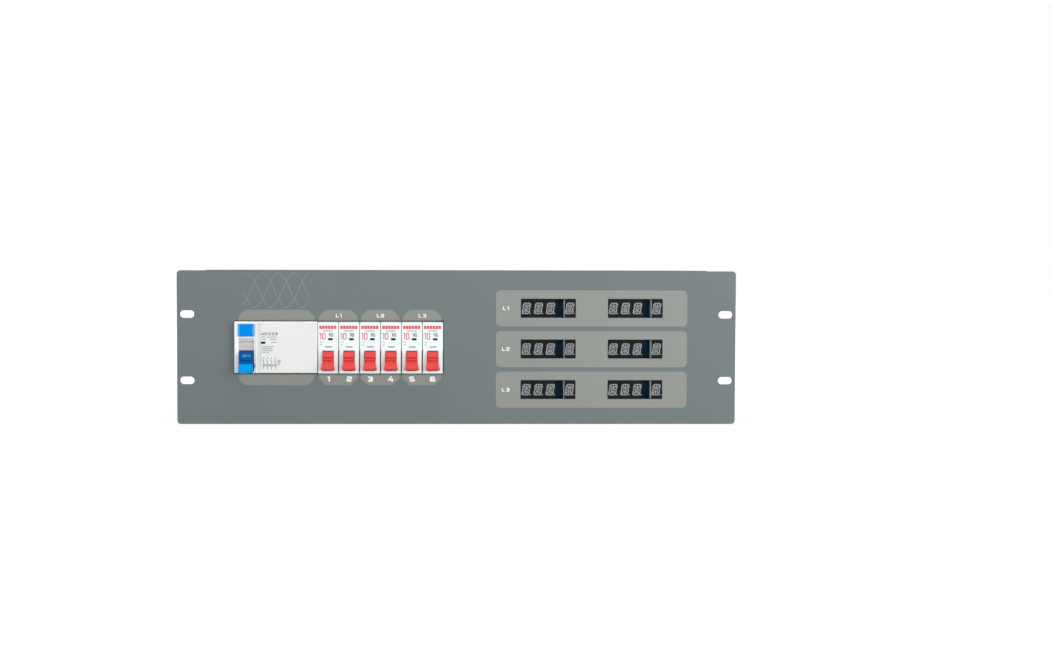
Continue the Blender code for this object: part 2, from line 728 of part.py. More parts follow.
def terminal_cuts(poles):
    """Wire openings and screw holes at the top and the bottom of a device's poles."""
    cuts = []
    for pole_x in poles:
        for end in (-1, 1):
            opening = box(TERMINAL_WIDTH, TERMINAL_WIDTH, 2 * TERMINAL_HOLE_DEPTH)
            cuts.append(moved(opening, pole_x, TERMINAL_DEPTH_Y, end * BREAKER_HEIGHT / 2))
            screw_hole = cylinder(TERMINAL_SCREW_RADIUS, 2 * TERMINAL_SCREW_DEPTH, COARSE_ROUND)
            screw_hole = placed(screw_hole, ALONG_Y)
            screw_z = end * (BREAKER_HEIGHT / 2 - TERMINAL_SCREW_INSET)
            cuts.append(moved(screw_hole, pole_x, NOSE_DEPTH, screw_z))
    return cuts


def toggle_pocket(drum_radius, width, pivot_depth, pivot_z):
    """Round pocket that a toggle's drum turns in."""
    pocket = placed(cylinder(drum_radius + TOGGLE_CLEARANCE, width, FINE_ROUND), ALONG_X)
    return moved(pocket, 0, pivot_depth, pivot_z)


def toggle_shape(drum_radius, drum_width, tip_width, reach, tip_drop):
    """Toggle round its pivot, pushed down: a drum with a crease, and a paddle that widens to its tip."""
    drum = placed(cylinder(drum_radius, drum_width, FINE_ROUND), ALONG_X)
    root = drum_radius - PADDLE_ROOT_DEPTH
    outline = [
        (-root * math.cos(PADDLE_TOP_ANGLE), -root * math.sin(PADDLE_TOP_ANGLE)),
        (-reach, PADDLE_NOSE_HEIGHT - tip_drop),
        (PADDLE_NOSE_LEAN - reach, -tip_drop),
        (-root * math.cos(PADDLE_BOTTOM_ANGLE), -root * math.sin(PADDLE_BOTTOM_ANGLE)),
        (0, 0),
    ]
    paddle = extruded([outline], tip_width, ON_SIDE)
    for vertex in paddle.vertices:
        if math.hypot(vertex.co.y, vertex.co.z) < drum_radius:
            vertex.co.x *= drum_width / tip_width
    paddle = bevelled(paddle, PADDLE_BEVEL)
    crease = box(tip_width, 2 * TOGGLE_CREASE, TOGGLE_CREASE)
    crease = moved(crease, 0, -drum_radius, 0)
    crease = placed(crease, Matrix.Rotation(-TOGGLE_CREASE_ANGLE, 4, "X"))
    return cut(joined(drum, [paddle]), [crease])


def breakers():
    """Six breakers side by side, each a housing and a toggle on its pivot."""
    width = MODULE - MODULE_GAP
    body = extruded([breaker_outline()], width, ON_SIDE)
    pocket_width = TOGGLE_DRUM_WIDTH + 2 * TOGGLE_CLEARANCE
    pocket = toggle_pocket(TOGGLE_DRUM_RADIUS, pocket_width, TOGGLE_PIVOT_DEPTH, -TOGGLE_PIVOT_DROP)
    body = cut(body, [pocket] + terminal_cuts([0]))
    toggle = toggle_shape(
        TOGGLE_DRUM_RADIUS, TOGGLE_DRUM_WIDTH, TOGGLE_TIP_WIDTH, TOGGLE_REACH, TOGGLE_TIP_DROP
    )
    pivot_y = NOSE_FRONT_Y + TOGGLE_PIVOT_DEPTH
    pivot_z = PANEL_MID_Z - TOGGLE_PIVOT_DROP
    first_housing = None
    first_toggle = None
    for number, x in enumerate(BREAKER_X, start=1):
        housing_name = f"breaker_housing_{number}"
        toggle_name = f"breaker_toggle_{number}"
        if first_housing is None:
            first_housing = add_part(housing_name, body, BREAKER_PLASTIC, (x, NOSE_FRONT_Y, PANEL_MID_Z))
            first_toggle = add_part(toggle_name, toggle, RED_PLASTIC, (x, pivot_y, pivot_z))
        else:
            add_copy(housing_name, first_housing, (x, NOSE_FRONT_Y, PANEL_MID_Z))
            add_copy(toggle_name, first_toggle, (x, pivot_y, pivot_z))


def rccb_control_x():
    """Return the middle of the RCCB's toggle and test button."""
    return BREAKERS_LEFT_X + RCCB_CONTROL_X


def test_button_z():
    """Return the middle of the test button."""
    return PANEL_MID_Z + NOSE_HEIGHT / 2 - TEST_BUTTON_TOP - TEST_BUTTON_HEIGHT / 2


def rccb():
    """Residual current breaker: housing, toggle and test button."""
    left = -RCCB_WIDTH / 2
    control_x = left + RCCB_CONTROL_X
    nose_top = NOSE_HEIGHT / 2
    body = extruded([breaker_outline()], RCCB_WIDTH - MODULE_GAP, ON_SIDE)
    ridge = box(RCCB_RIDGE_WIDTH, 4 * RCCB_RIDGE_PROUD, NOSE_HEIGHT - 4 * NOSE_CORNER)
    ridge = bevelled(ridge, RCCB_RIDGE_PROUD / 3)
    ridge = moved(ridge, left + RCCB_RIDGE_LEFT + RCCB_RIDGE_WIDTH / 2, RCCB_RIDGE_PROUD, 0)
    body = joined(body, [ridge])
    pocket_width = RCCB_DRUM_WIDTH + 2 * TOGGLE_CLEARANCE
    pocket = toggle_pocket(RCCB_DRUM_RADIUS, pocket_width, RCCB_TOGGLE_PIVOT_DEPTH, -RCCB_TOGGLE_PIVOT_DROP)
    button_depth = TEST_BUTTON_LENGTH - TEST_BUTTON_PROUD + TEST_BUTTON_TRAVEL + TOGGLE_CLEARANCE
    button_hole = box(
        TEST_BUTTON_WIDTH + 2 * TOGGLE_CLEARANCE, 2 * button_depth, TEST_BUTTON_HEIGHT + 2 * TOGGLE_CLEARANCE
    )
    recess = box(TEST_BUTTON_WIDTH, 2 * RCCB_RECESS_DEPTH, RCCB_RECESS_HEIGHT)
    recess_z = nose_top - RCCB_RECESS_TOP - RCCB_RECESS_HEIGHT / 2
    poles = [x - RCCB_MID_X for x in RCCB_TERMINAL_X]
    cuts = [
        moved(pocket, control_x, 0, 0),
        moved(button_hole, control_x, 0, test_button_z() - PANEL_MID_Z),
        moved(recess, control_x, 0, recess_z),
    ]
    body = cut(body, cuts + terminal_cuts(poles))
    add_part("rccb_housing", body, RCCB_PLASTIC, (RCCB_MID_X, NOSE_FRONT_Y, PANEL_MID_Z))
    toggle = toggle_shape(
        RCCB_DRUM_RADIUS, RCCB_DRUM_WIDTH, RCCB_TIP_WIDTH, RCCB_TOGGLE_REACH, RCCB_TIP_DROP
    )
    pivot = (rccb_control_x(), NOSE_FRONT_Y + RCCB_TOGGLE_PIVOT_DEPTH, PANEL_MID_Z - RCCB_TOGGLE_PIVOT_DROP)
    add_part("rccb_toggle", toggle, BLUE_PLASTIC, pivot)
    button = bevelled(box(TEST_BUTTON_WIDTH, TEST_BUTTON_LENGTH, TEST_BUTTON_HEIGHT), 2 * PADDLE_BEVEL)
    button_y = NOSE_FRONT_Y - TEST_BUTTON_PROUD + TEST_BUTTON_LENGTH / 2
    add_part("rccb_test_button", button, BLUE_PLASTIC, (rccb_control_x(), button_y, test_button_z()))


# Link bars, neutral bar and earth bar

def phase_links():
    """Link bar over each pair of breakers, with a prong in the top terminal of each."""
    length = MODULE + 2 * LINK_OVERHANG
    bar = bevelled(box(length, LINK_DEPTH, LINK_HEIGHT), PADDLE_BEVEL)
    prong_height = LINK_PRONG_LENGTH + LINK_HEIGHT / 2
    prongs = []
    for side in (-1, 1):
        prong = box(LINK_PRONG_WIDTH, LINK_PRONG_DEPTH, prong_height)
        prongs.append(moved(prong, side * MODULE / 2, 0, -prong_height / 2))
    mesh = joined(bar, prongs)
    first = None
    for phase, x in zip(PHASES, LINK_X):
        place = (x, TERMINAL_Y, LINK_MID_Z)
        if first is None:
            first = add_part(f"phase_link_{phase}", mesh, COPPER, place)
        else:
            add_copy(f"phase_link_{phase}", first, place)


def terminal_bar(name, middle_y, middle_z):
    """Square bar with a row of screw holes, on a foot at each end that stands on the floor."""
    bar = bevelled(box(BAR_LENGTH, BAR_SIDE, BAR_SIDE), PADDLE_BEVEL)
    foot_height = middle_z - FLOOR_Z
    feet = []
    for side in (-1, 1):
        foot = box(BAR_FOOT_WIDTH, BAR_SIDE, foot_height)
        feet.append(moved(foot, side * (BAR_LENGTH / 2 - BAR_FOOT_WIDTH), 0, -foot_height / 2))
    holes = []
    for number in range(BAR_HOLES):
        hole_x = (number - (BAR_HOLES - 1) / 2) * BAR_HOLE_SPACING
        holes.append(moved(cylinder(BAR_HOLE_RADIUS, BAR_SIDE, SMALL_ROUND), hole_x, 0, BAR_SIDE / 2))
    mesh = cut(joined(bar, feet), holes)
    add_part(name, mesh, BRASS, (BAR_CENTRE_X, middle_y, middle_z))


# Meters

def meter_boards():
    """One board behind each meter row, held on the panel's studs."""
    outlines = [rectangle((0, 0), board_width(), BOARD_HEIGHT)]
    for x, z in stud_places():
        outlines.append(circle((x, z), BOARD_HOLE_RADIUS, SMALL_ROUND))
    mesh = extruded(outlines, BOARD_SHEET)
    first = None
    for phase, row_z in zip(PHASES, METER_Z):
        place = (board_mid_x(), BOARD_FRONT_Y + BOARD_SHEET / 2, row_z)
        if first is None:
            first = add_part(f"meter_board_{phase}", mesh, BOARD_LACQUER, place)
        else:
            add_copy(f"meter_board_{phase}", first, place)


def digit_blocks():
    """Digit blocks on the boards: three digits at each window's left end and one at its right end."""
    height = WINDOW_HEIGHT - 2 * SEAT_GAP
    middle_y = PANEL_FRONT_Y + DIGIT_BLOCK_RECESS + DIGIT_BLOCK_DEPTH / 2
    inner_half = WINDOW_WIDTH / 2 - SEAT_GAP
    kinds = (
        ("digits", DIGITS_WIDTH, DIGITS_WIDTH / 2 - inner_half),
        ("unit_digit", UNIT_DIGIT_WIDTH, inner_half - UNIT_DIGIT_WIDTH / 2),
    )
    for kind, width, offset in kinds:
        mesh = bevelled(box(width, DIGIT_BLOCK_DEPTH, height), PADDLE_BEVEL / 2, 1)
        first = None
        for phase, row_z in zip(PHASES, METER_Z):
            for meter, window_x in WINDOW_X.items():
                place = (window_x + offset, middle_y, row_z)
                if first is None:
                    first = add_part(f"{meter}_{kind}_{phase}", mesh, DIGIT_PLASTIC, place)
                else:
                    add_copy(f"{meter}_{kind}_{phase}", first, place)


# Mains inlet, outlets and earth stud

def pin_places():
    """Return where the inlet's pins stand, as X and Z from its middle, the earth pin first."""
    places = []
    for number in range(PIN_COUNT):
        angle = -math.pi / 2 + math.tau * number / PIN_COUNT
        places.append((PIN_CIRCLE_RADIUS * math.cos(angle), PIN_CIRCLE_RADIUS * math.sin(angle)))
    return places


def inlet():
    """Five-pole inlet: a flanged housing with a round shroud, and the insert that holds the pins."""
    flange = extruded([rectangle((0, 0), INLET_FLANGE, INLET_FLANGE, INLET_CORNER)], INLET_FLANGE_THICKNESS)
    flange = moved(flange, 0, -INLET_FLANGE_THICKNESS / 2, 0)
    shroud_length = INLET_SHROUD_LENGTH + INLET_FLANGE_THICKNESS / 2
    shroud = placed(cylinder(INLET_SHROUD_RADIUS, shroud_length, FINE_ROUND), ALONG_Y)
    shroud = moved(shroud, 0, INLET_SHROUD_LENGTH - shroud_length / 2, 0)
    barrel_length = INLET_BARREL_LENGTH + INLET_FLANGE_THICKNESS / 2
    barrel = placed(cylinder(INLET_BARREL_RADIUS, barrel_length, FINE_ROUND), ALONG_Y)
    barrel = moved(barrel, 0, barrel_length / 2 - INLET_FLANGE_THICKNESS - INLET_BARREL_LENGTH, 0)
    housing = joined(flange, [shroud, barrel])
    bore_length = 3 * (INLET_SHROUD_LENGTH + INLET_BARREL_LENGTH)
    bore = placed(cylinder(INLET_BORE_RADIUS, bore_length, FINE_ROUND), ALONG_Y)
    keyway = box(INLET_KEYWAY_WIDTH, 2 * INLET_SHROUD_LENGTH, 2 * INLET_KEYWAY_DEPTH)
    keyway = moved(keyway, 0, INLET_SHROUD_LENGTH, -INLET_BORE_RADIUS)
    housing = cut(housing, [bore, keyway])
    add_part("inlet_housing", housing, INLET_PLASTIC, (INLET_X, INLET_FACE_Y, INLET_Z))

    insert_radius = INLET_BORE_RADIUS - SEAT_GAP
    insert = placed(cylinder(insert_radius, INLET_INSERT_THICKNESS, FINE_ROUND), ALONG_Y)
    pins = []
    for number, (x, z) in enumerate(pin_places()):
        radius = EARTH_PIN_RADIUS if number == 0 else PIN_RADIUS
        pin_length = PIN_LENGTH + INLET_INSERT_THICKNESS / 2
        pin = placed(cylinder(radius, pin_length, COARSE_ROUND), ALONG_Y)
        pins.append(moved(pin, x, pin_length / 2, z))
        terminal_length = PIN_TERMINAL_LENGTH + INLET_INSERT_THICKNESS / 2
        terminal = placed(cylinder(PIN_TERMINAL_RADIUS, terminal_length, SMALL_ROUND), ALONG_Y)
        pins.append(moved(terminal, x, -terminal_length / 2, z))
    add_part("inlet_pins", joined(insert, pins), INSERT_PLASTIC, (INLET_X, INLET_INSERT_Y, INLET_Z))


def outlet_shape():
    """Earthed outlet from its face at Y 0: flange, round well, contact holes, guide ribs and earth clips."""
    flange_outline = rectangle((0, 0), OUTLET_FLANGE, OUTLET_FLANGE, OUTLET_CORNER)
    flange = extruded([flange_outline], OUTLET_FLANGE_THICKNESS)
    flange = moved(flange, 0, -OUTLET_FLANGE_THICKNESS / 2, 0)
    barrel_back = OUTLET_FACE_Y - OUTLET_BACK_Y
    barrel_length = barrel_back - OUTLET_FLANGE_THICKNESS / 2
    barrel = placed(cylinder(OUTLET_BARREL_RADIUS, barrel_length, MEDIUM_ROUND), ALONG_Y)
    body = joined(flange, [moved(barrel, 0, barrel_length / 2 - barrel_back, 0)])
    well = placed(cylinder(OUTLET_WELL_RADIUS, 2 * OUTLET_WELL_DEPTH, MEDIUM_ROUND), ALONG_Y)
    cuts = [well]
    for side in (-1, 1):
        hole = placed(cylinder(OUTLET_CONTACT_RADIUS, 2 * OUTLET_CONTACT_DEPTH, SMALL_ROUND), ALONG_Y)
        cuts.append(moved(hole, side * OUTLET_CONTACT_SPACING / 2, -OUTLET_WELL_DEPTH, 0))
    body = cut(body, cuts)
    wall = OUTLET_BARREL_RADIUS - OUTLET_WELL_RADIUS
    length = OUTLET_WELL_DEPTH - OUTLET_FLANGE_THICKNESS / 2
    middle_y = -OUTLET_WELL_DEPTH + length / 2 - wall / 2
    fittings = []
    for side in (-1, 1):
        rib_proud = OUTLET_RIB_PROUD + wall / 2
        rib = box(rib_proud, length + wall, OUTLET_RIB_WIDTH)
        rib_x = OUTLET_WELL_RADIUS + wall / 2 - rib_proud / 2
        fittings.append(moved(rib, side * rib_x, middle_y, 0))
        clip_proud = EARTH_CLIP_PROUD + wall / 2
        clip = box(EARTH_CLIP_WIDTH, length + wall, clip_proud)
        clip_z = OUTLET_WELL_RADIUS + wall / 2 - clip_proud / 2
        fittings.append(moved(clip, 0, middle_y, side * clip_z))
    return joined(body, fittings)


def outlets():
    """Six outlets, numbered along the top row and then the bottom row."""
    mesh = outlet_shape()
    first = None
    number = 1
    for z in OUTLET_Z:
        for x in OUTLET_X:
            place = (x, OUTLET_FACE_Y, z)
            if first is None:
                first = add_part(f"outlet_{number}", mesh, SOCKET_PLASTIC, place)
            else:
                add_copy(f"outlet_{number}", first, place)
            number += 1


def earth_stud():
    """Threaded stud through the rear panel: head inside, washer and nut outside."""
    shank_length = REAR_SHEET + 2 * SEAT_GAP + STUD_LENGTH + STUD_HEAD_HEIGHT
    shank = placed(cylinder(STUD_RADIUS, shank_length, COARSE_ROUND), ALONG_Y)
    shank = moved(shank, 0, shank_length / 2 - REAR_SHEET - SEAT_GAP - STUD_HEAD_HEIGHT / 2, 0)
    head = placed(cylinder(STUD_HEAD_RADIUS, STUD_HEAD_HEIGHT, HEXAGON), ALONG_Y)
    head = moved(head, 0, -REAR_SHEET - SEAT_GAP - STUD_HEAD_HEIGHT / 2, 0)
    washer = placed(cylinder(WASHER_RADIUS, WASHER_THICKNESS, COARSE_ROUND), ALONG_Y)
    washer = moved(washer, 0, SEAT_GAP + WASHER_THICKNESS / 2, 0)
    nut = placed(cylinder(STUD_HEAD_RADIUS, STUD_HEAD_HEIGHT + WASHER_THICKNESS / 2, HEXAGON), ALONG_Y)
    nut = moved(nut, 0, SEAT_GAP + WASHER_THICKNESS + STUD_HEAD_HEIGHT / 2, 0)
    mesh = joined(shank, [head, washer, nut])
    add_part("earth_stud", mesh, BRASS, (EARTH_STUD_X, CASE_BACK_Y, EARTH_STUD_Z))


# Wires and current transformers

def feed_loom():
    """Five cores from the inlet through a spacer: four under the RCCB and one to the earth bar."""
    start_y = INLET_INSERT_Y - INLET_INSERT_THICKNESS / 2 - PIN_TERMINAL_LENGTH - SEAT_GAP
    spacer_y = start_y - 2 * SPACER_THICKNESS
    places = pin_places()
    poles = dict(zip(RCCB_TERMINAL_X, (places[4], places[3], places[2], places[1])))
    low_z = FLOOR_Z + 3 * FEED_WIRE_RADIUS
    cores = []
    for pole_x, (x, z) in poles.items():
        route = [
            (INLET_X + x, start_y, INLET_Z + z),
            (INLET_X + x, spacer_y, INLET_Z + z),
            (INLET_X + x, spacer_y - 0.004, INLET_Z + z),
            (pole_x, TRANSFORMER_Y + 2 * TRANSFORMER_LENGTH, FEED_LANE_Z),
            (pole_x, TRANSFORMER_Y + TRANSFORMER_LENGTH, FEED_LANE_Z),
            (pole_x, TRANSFORMER_Y - TRANSFORMER_LENGTH, FEED_LANE_Z),
            (pole_x, TRANSFORMER_Y - 2 * TRANSFORMER_LENGTH, FEED_LANE_Z),
            (pole_x, -0.030, low_z + 0.012),
            (pole_x, -0.060, low_z),
            (pole_x, TERMINAL_Y + 0.012, low_z),
            (pole_x, TERMINAL_Y, BREAKER_BOTTOM_Z - 0.006),
            (pole_x, TERMINAL_Y, BREAKER_BOTTOM_Z + 0.006),
        ]
        cores.append(tube(route, FEED_WIRE_RADIUS))
    earth_x, earth_z = places[0]
    bar_end_x = BAR_CENTRE_X - BAR_LENGTH / 2 - SEAT_GAP
    earth_route = [
        (INLET_X + earth_x, start_y, INLET_Z + earth_z),
        (INLET_X + earth_x, spacer_y, INLET_Z + earth_z),
        (INLET_X + earth_x, spacer_y - 0.004, INLET_Z + earth_z - 0.001),
        (INLET_X + 0.012, EARTH_BAR_Y + 0.004, EARTH_BAR_Z + 0.016),
        (INLET_X + 0.040, EARTH_BAR_Y, EARTH_BAR_Z),
        (bar_end_x - 0.008, EARTH_BAR_Y, EARTH_BAR_Z),
        (bar_end_x, EARTH_BAR_Y, EARTH_BAR_Z),
    ]
    cores.append(tube(earth_route, FEED_WIRE_RADIUS))
    spacer_radius = PIN_CIRCLE_RADIUS + 2 * FEED_WIRE_RADIUS
    spacer = placed(cylinder(spacer_radius, SPACER_THICKNESS, FINE_ROUND), ALONG_Y)
    spacer = moved(spacer, INLET_X, spacer_y, INLET_Z)
    add_part("feed_loom", joined(spacer, cores), WIRE_BLACK)


def current_transformers():
    """Ring core on each phase wire."""
    bore_radius = FEED_WIRE_RADIUS + SEAT_GAP
    ring = turned_ring(TRANSFORMER_RADIUS, bore_radius, TRANSFORMER_LENGTH, MEDIUM_ROUND)
    ring = placed(ring, ALONG_Y)
    first = None
    for phase, x in zip(PHASES, RCCB_TERMINAL_X[1:]):
        place = (x, TRANSFORMER_Y, FEED_LANE_Z)
        if first is None:
            first = add_part(f"current_transformer_{phase}", ring, FERRITE, place)
        else:
            add_copy(f"current_transformer_{phase}", first, place)


def link_wires():
    """Wires from the RCCB's top terminals to the link bars, in lanes that don't cross."""
    front_y = TERMINAL_Y - LINK_DEPTH / 2 - SEAT_GAP
    back_y = TERMINAL_Y + LINK_DEPTH / 2 + SEAT_GAP
    lanes = (
        (TERMINAL_Y - LANE_SPACING_Y, BREAKER_TOP_Z + LOW_LANE_SHARE * HEADROOM, front_y),
        (TERMINAL_Y - LANE_SPACING_Y, BREAKER_TOP_Z + HIGH_LANE_SHARE * HEADROOM, front_y),
        (TERMINAL_Y + LANE_SPACING_Y, BREAKER_TOP_Z + MIDDLE_LANE_SHARE * HEADROOM, back_y),
    )
    for phase, pole_x, link_x, (lane_y, lane_z, end_y) in zip(PHASES, RCCB_TERMINAL_X[1:], LINK_X, lanes):
        lean = math.copysign(0.003, end_y - lane_y)
        route = [
            (pole_x, TERMINAL_Y, BREAKER_TOP_Z - 0.006),
            (pole_x, TERMINAL_Y, BREAKER_TOP_Z + 0.003),
            (pole_x + 0.004, (TERMINAL_Y + lane_y) / 2, lane_z),
            (pole_x + 0.012, lane_y, lane_z),
            (pole_x + 0.024, lane_y, lane_z),
            (link_x - 0.016, lane_y, lane_z),
            (link_x - 0.006, lane_y, (lane_z + LINK_MID_Z) / 2),
            (link_x, end_y - lean, LINK_MID_Z),
            (link_x, end_y, LINK_MID_Z),
        ]
        add_part(f"link_wire_{phase}", tube(route, LINK_WIRE_RADIUS), WIRE_BLACK)


def neutral_wire():
    """Wire from the RCCB's neutral pole, over the rail and down to the neutral bar."""
    pole_x = RCCB_TERMINAL_X[0]
    lane_z = BREAKER_TOP_Z + NEUTRAL_LANE_SHARE * HEADROOM
    end_x = BAR_CENTRE_X - 0.020
    end_y = NEUTRAL_BAR_Y - BAR_SIDE / 2 - SEAT_GAP
    route = [
        (pole_x, TERMINAL_Y, BREAKER_TOP_Z - 0.006),
        (pole_x, TERMINAL_Y, BREAKER_TOP_Z + 0.003),
        (pole_x, TERMINAL_Y + 0.012, lane_z),
        (pole_x, TERMINAL_Y + 0.030, lane_z),
        (pole_x + 0.030, -0.045, lane_z - 0.006),
        (end_x - 0.030, -0.030, lane_z - 0.020),
        (end_x, -0.015, NEUTRAL_BAR_Z + 0.030),
        (end_x, end_y - 0.014, NEUTRAL_BAR_Z + 0.003),
        (end_x, end_y - 0.005, NEUTRAL_BAR_Z),
        (end_x, end_y, NEUTRAL_BAR_Z),
    ]
    add_part("neutral_wire", tube(route, LINK_WIRE_RADIUS), WIRE_BLUE)


def outlet_loom():
    """Tails under the breakers, a trunk across the floor, a cord to each outlet and two bar tails."""
    trunk_y = BRACKET_FRONT_Y + TRUNK_BEHIND_BRACKET
    trunk_z = FLOOR_Z + TRUNK_CLEARANCE + TRUNK_RADIUS
    trunk_start = (BREAKER_X[0] - 0.004, trunk_y, trunk_z)
    trunk_end = (OUTLET_X[-1] + 0.014, trunk_y, trunk_z)
    trunk = tube([trunk_start, trunk_end], TRUNK_RADIUS)
    tail_z = trunk_z - TRUNK_OFF_CENTRE
    cord_z = trunk_z + TRUNK_OFF_CENTRE
    branches = []
    for x in BREAKER_X:
        route = [
            (x, TERMINAL_Y, BREAKER_BOTTOM_Z + 0.006),
            (x, TERMINAL_Y, BREAKER_BOTTOM_Z - 0.005),
            (x, TERMINAL_Y + 0.010, tail_z),
            (x, TERMINAL_Y + 0.020, tail_z),
            (x, trunk_y, tail_z),
        ]
        branches.append(tube(route, OUTLET_WIRE_RADIUS))
    end_y = OUTLET_BACK_Y - SEAT_GAP
    for x in OUTLET_X:
        for offset, z in zip((0.008, -0.008), OUTLET_Z):
            rise_y = end_y - 0.034 if z == OUTLET_Z[0] else end_y - 0.022
            route = [
                (x + offset, trunk_y, cord_z),
                (x + offset, trunk_y + 0.020, cord_z),
                (x + offset, rise_y - 0.020, cord_z),
                (x + offset, rise_y, cord_z + 0.010),
                (x + offset, rise_y + 0.010, (cord_z + z) / 2),
                (x + offset / 2, end_y - 0.012, z - 0.002),
                (x + offset / 2, end_y - 0.004, z),
                (x + offset / 2, end_y, z),
            ]
            branches.append(tube(route, OUTLET_CORD_RADIUS))
    neutral_x = BAR_CENTRE_X + 0.020
    neutral_end_y = NEUTRAL_BAR_Y - BAR_SIDE / 2 - SEAT_GAP
    neutral_tail = [
        (neutral_x, trunk_y, cord_z),
        (neutral_x, trunk_y + 0.030, cord_z),
        (neutral_x, neutral_end_y - 0.014, NEUTRAL_BAR_Z - 0.001),
        (neutral_x, neutral_end_y - 0.004, NEUTRAL_BAR_Z),
        (neutral_x, neutral_end_y, NEUTRAL_BAR_Z),
    ]
    earth_x = BAR_CENTRE_X + BAR_LENGTH / 2 + SEAT_GAP
    earth_tail = [
        (earth_x + 0.016, trunk_y, cord_z),
        (earth_x + 0.016, trunk_y + 0.030, cord_z),
        (earth_x + 0.016, EARTH_BAR_Y - 0.020, EARTH_BAR_Z),
        (earth_x + 0.010, EARTH_BAR_Y - 0.003, EARTH_BAR_Z),
        (earth_x + 0.004, EARTH_BAR_Y, EARTH_BAR_Z),
        (earth_x, EARTH_BAR_Y, EARTH_BAR_Z),
    ]
    branches.append(tube(neutral_tail, OUTLET_CORD_RADIUS))
    branches.append(tube(earth_tail, OUTLET_CORD_RADIUS))
    add_part("outlet_loom", joined(trunk, branches), WIRE_BLACK)


front_panel()
chassis_tray()
top_cover()
rear_panel()
din_rail()
din_brackets()
rccb()
breakers()
phase_links()
terminal_bar("neutral_bar", NEUTRAL_BAR_Y, NEUTRAL_BAR_Z)
terminal_bar("earth_bar", EARTH_BAR_Y, EARTH_BAR_Z)
meter_boards()
digit_blocks()
inlet()
outlets()
earth_stud()
feed_loom()
current_transformers()
link_wires()
neutral_wire()
outlet_loom()
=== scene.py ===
"""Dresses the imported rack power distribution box: finer shapes, marks, materials, light and camera.

Metres, +Z up, the front faces -Y.
"""

import math
from collections import namedtuple

import bmesh
import bpy
from mathutils import Matrix, Vector, geometry


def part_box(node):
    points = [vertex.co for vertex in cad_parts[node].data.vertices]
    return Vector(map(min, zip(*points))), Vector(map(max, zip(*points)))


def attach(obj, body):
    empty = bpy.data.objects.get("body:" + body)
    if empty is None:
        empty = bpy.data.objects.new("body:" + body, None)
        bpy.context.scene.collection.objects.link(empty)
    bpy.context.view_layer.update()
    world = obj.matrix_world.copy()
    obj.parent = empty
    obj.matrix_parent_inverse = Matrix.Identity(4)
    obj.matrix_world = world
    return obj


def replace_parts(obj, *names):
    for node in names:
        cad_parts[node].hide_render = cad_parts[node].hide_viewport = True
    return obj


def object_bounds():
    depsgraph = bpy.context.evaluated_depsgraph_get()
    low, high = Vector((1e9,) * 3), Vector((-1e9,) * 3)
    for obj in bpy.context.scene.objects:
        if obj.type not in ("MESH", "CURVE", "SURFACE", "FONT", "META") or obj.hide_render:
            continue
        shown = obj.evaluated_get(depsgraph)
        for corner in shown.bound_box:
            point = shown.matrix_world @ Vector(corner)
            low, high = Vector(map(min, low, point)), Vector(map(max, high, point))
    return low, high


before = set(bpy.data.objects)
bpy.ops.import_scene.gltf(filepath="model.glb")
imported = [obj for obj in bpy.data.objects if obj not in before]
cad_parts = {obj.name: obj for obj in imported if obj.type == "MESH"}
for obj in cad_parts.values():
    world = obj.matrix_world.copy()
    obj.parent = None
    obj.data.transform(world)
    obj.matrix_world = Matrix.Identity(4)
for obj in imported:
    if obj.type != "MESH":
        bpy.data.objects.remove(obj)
CAD_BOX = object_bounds()

MM = 0.001
CASE = "case"
INK = 0.04 * MM
WHITE = (1.0, 1.0, 1.0, 1.0)

# Smallest divisor in a mitre, corners that stay sharp in a line, the longest rounding as a share of a
# stroke, and the angle from which an edge between faces stays sharp
MITRE_LIMIT = 0.25
SHARP_CORNER = math.radians(75)
LONGEST_ROUNDING = 0.45
SHARP_EDGE = math.radians(38)

# Panel and what is printed on it, from the panel's top edge
PANEL_LOW, PANEL_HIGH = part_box("front_panel")
PANEL_FRONT = PANEL_LOW.y
PANEL_BACK = PANEL_FRONT + 2.5 * MM
PANEL_TOP = PANEL_HIGH.z
PANEL_MIDDLE = (PANEL_LOW.z + PANEL_HIGH.z) / 2
MIDDLE = (0, PANEL_FRONT, PANEL_MIDDLE)
PANEL_CORNER = 3.2 * MM
PANEL_EDGE = 0.2 * MM
RACK_SLOT_INSET = 8.75 * MM
RACK_SLOT_SPACING = 57.15 * MM
RACK_SLOT_LENGTH = 12.4 * MM
RACK_SLOT_HEIGHT = 6.5 * MM
STUD_RADIUS = 1.0 * MM
STUD_ROOT = 1.0 * MM
STUD_INSET = 3 * MM
PLATE_SIDES = ((-188.6, -123.1), (-119.2, -86.1), (-83.0, -49.9), (-46.9, -13.7))
PLATE_TOP = PANEL_TOP - 33.8 * MM
PLATE_BOTTOM = PANEL_TOP - 98.9 * MM
PLATE_CHAMFER = 5.8 * MM
LABEL_HEIGHT = 3.2 * MM
LABEL_MIDDLE = PANEL_TOP - 38.8 * MM
NUMBER_HEIGHT = 4.6 * MM
NUMBER_MIDDLE = PANEL_TOP - 93.6 * MM
WAVE_LEFT = -184.4 * MM
WAVE_RIGHT = -127.2 * MM
WAVE_MIDDLE = PANEL_TOP - 17.1 * MM
WAVE_HEIGHT = 14.6 * MM
WAVE_LENGTH = 40.7 * MM
WAVE_LINE = 0.8 * MM
WAVE_PHASE = 0.17

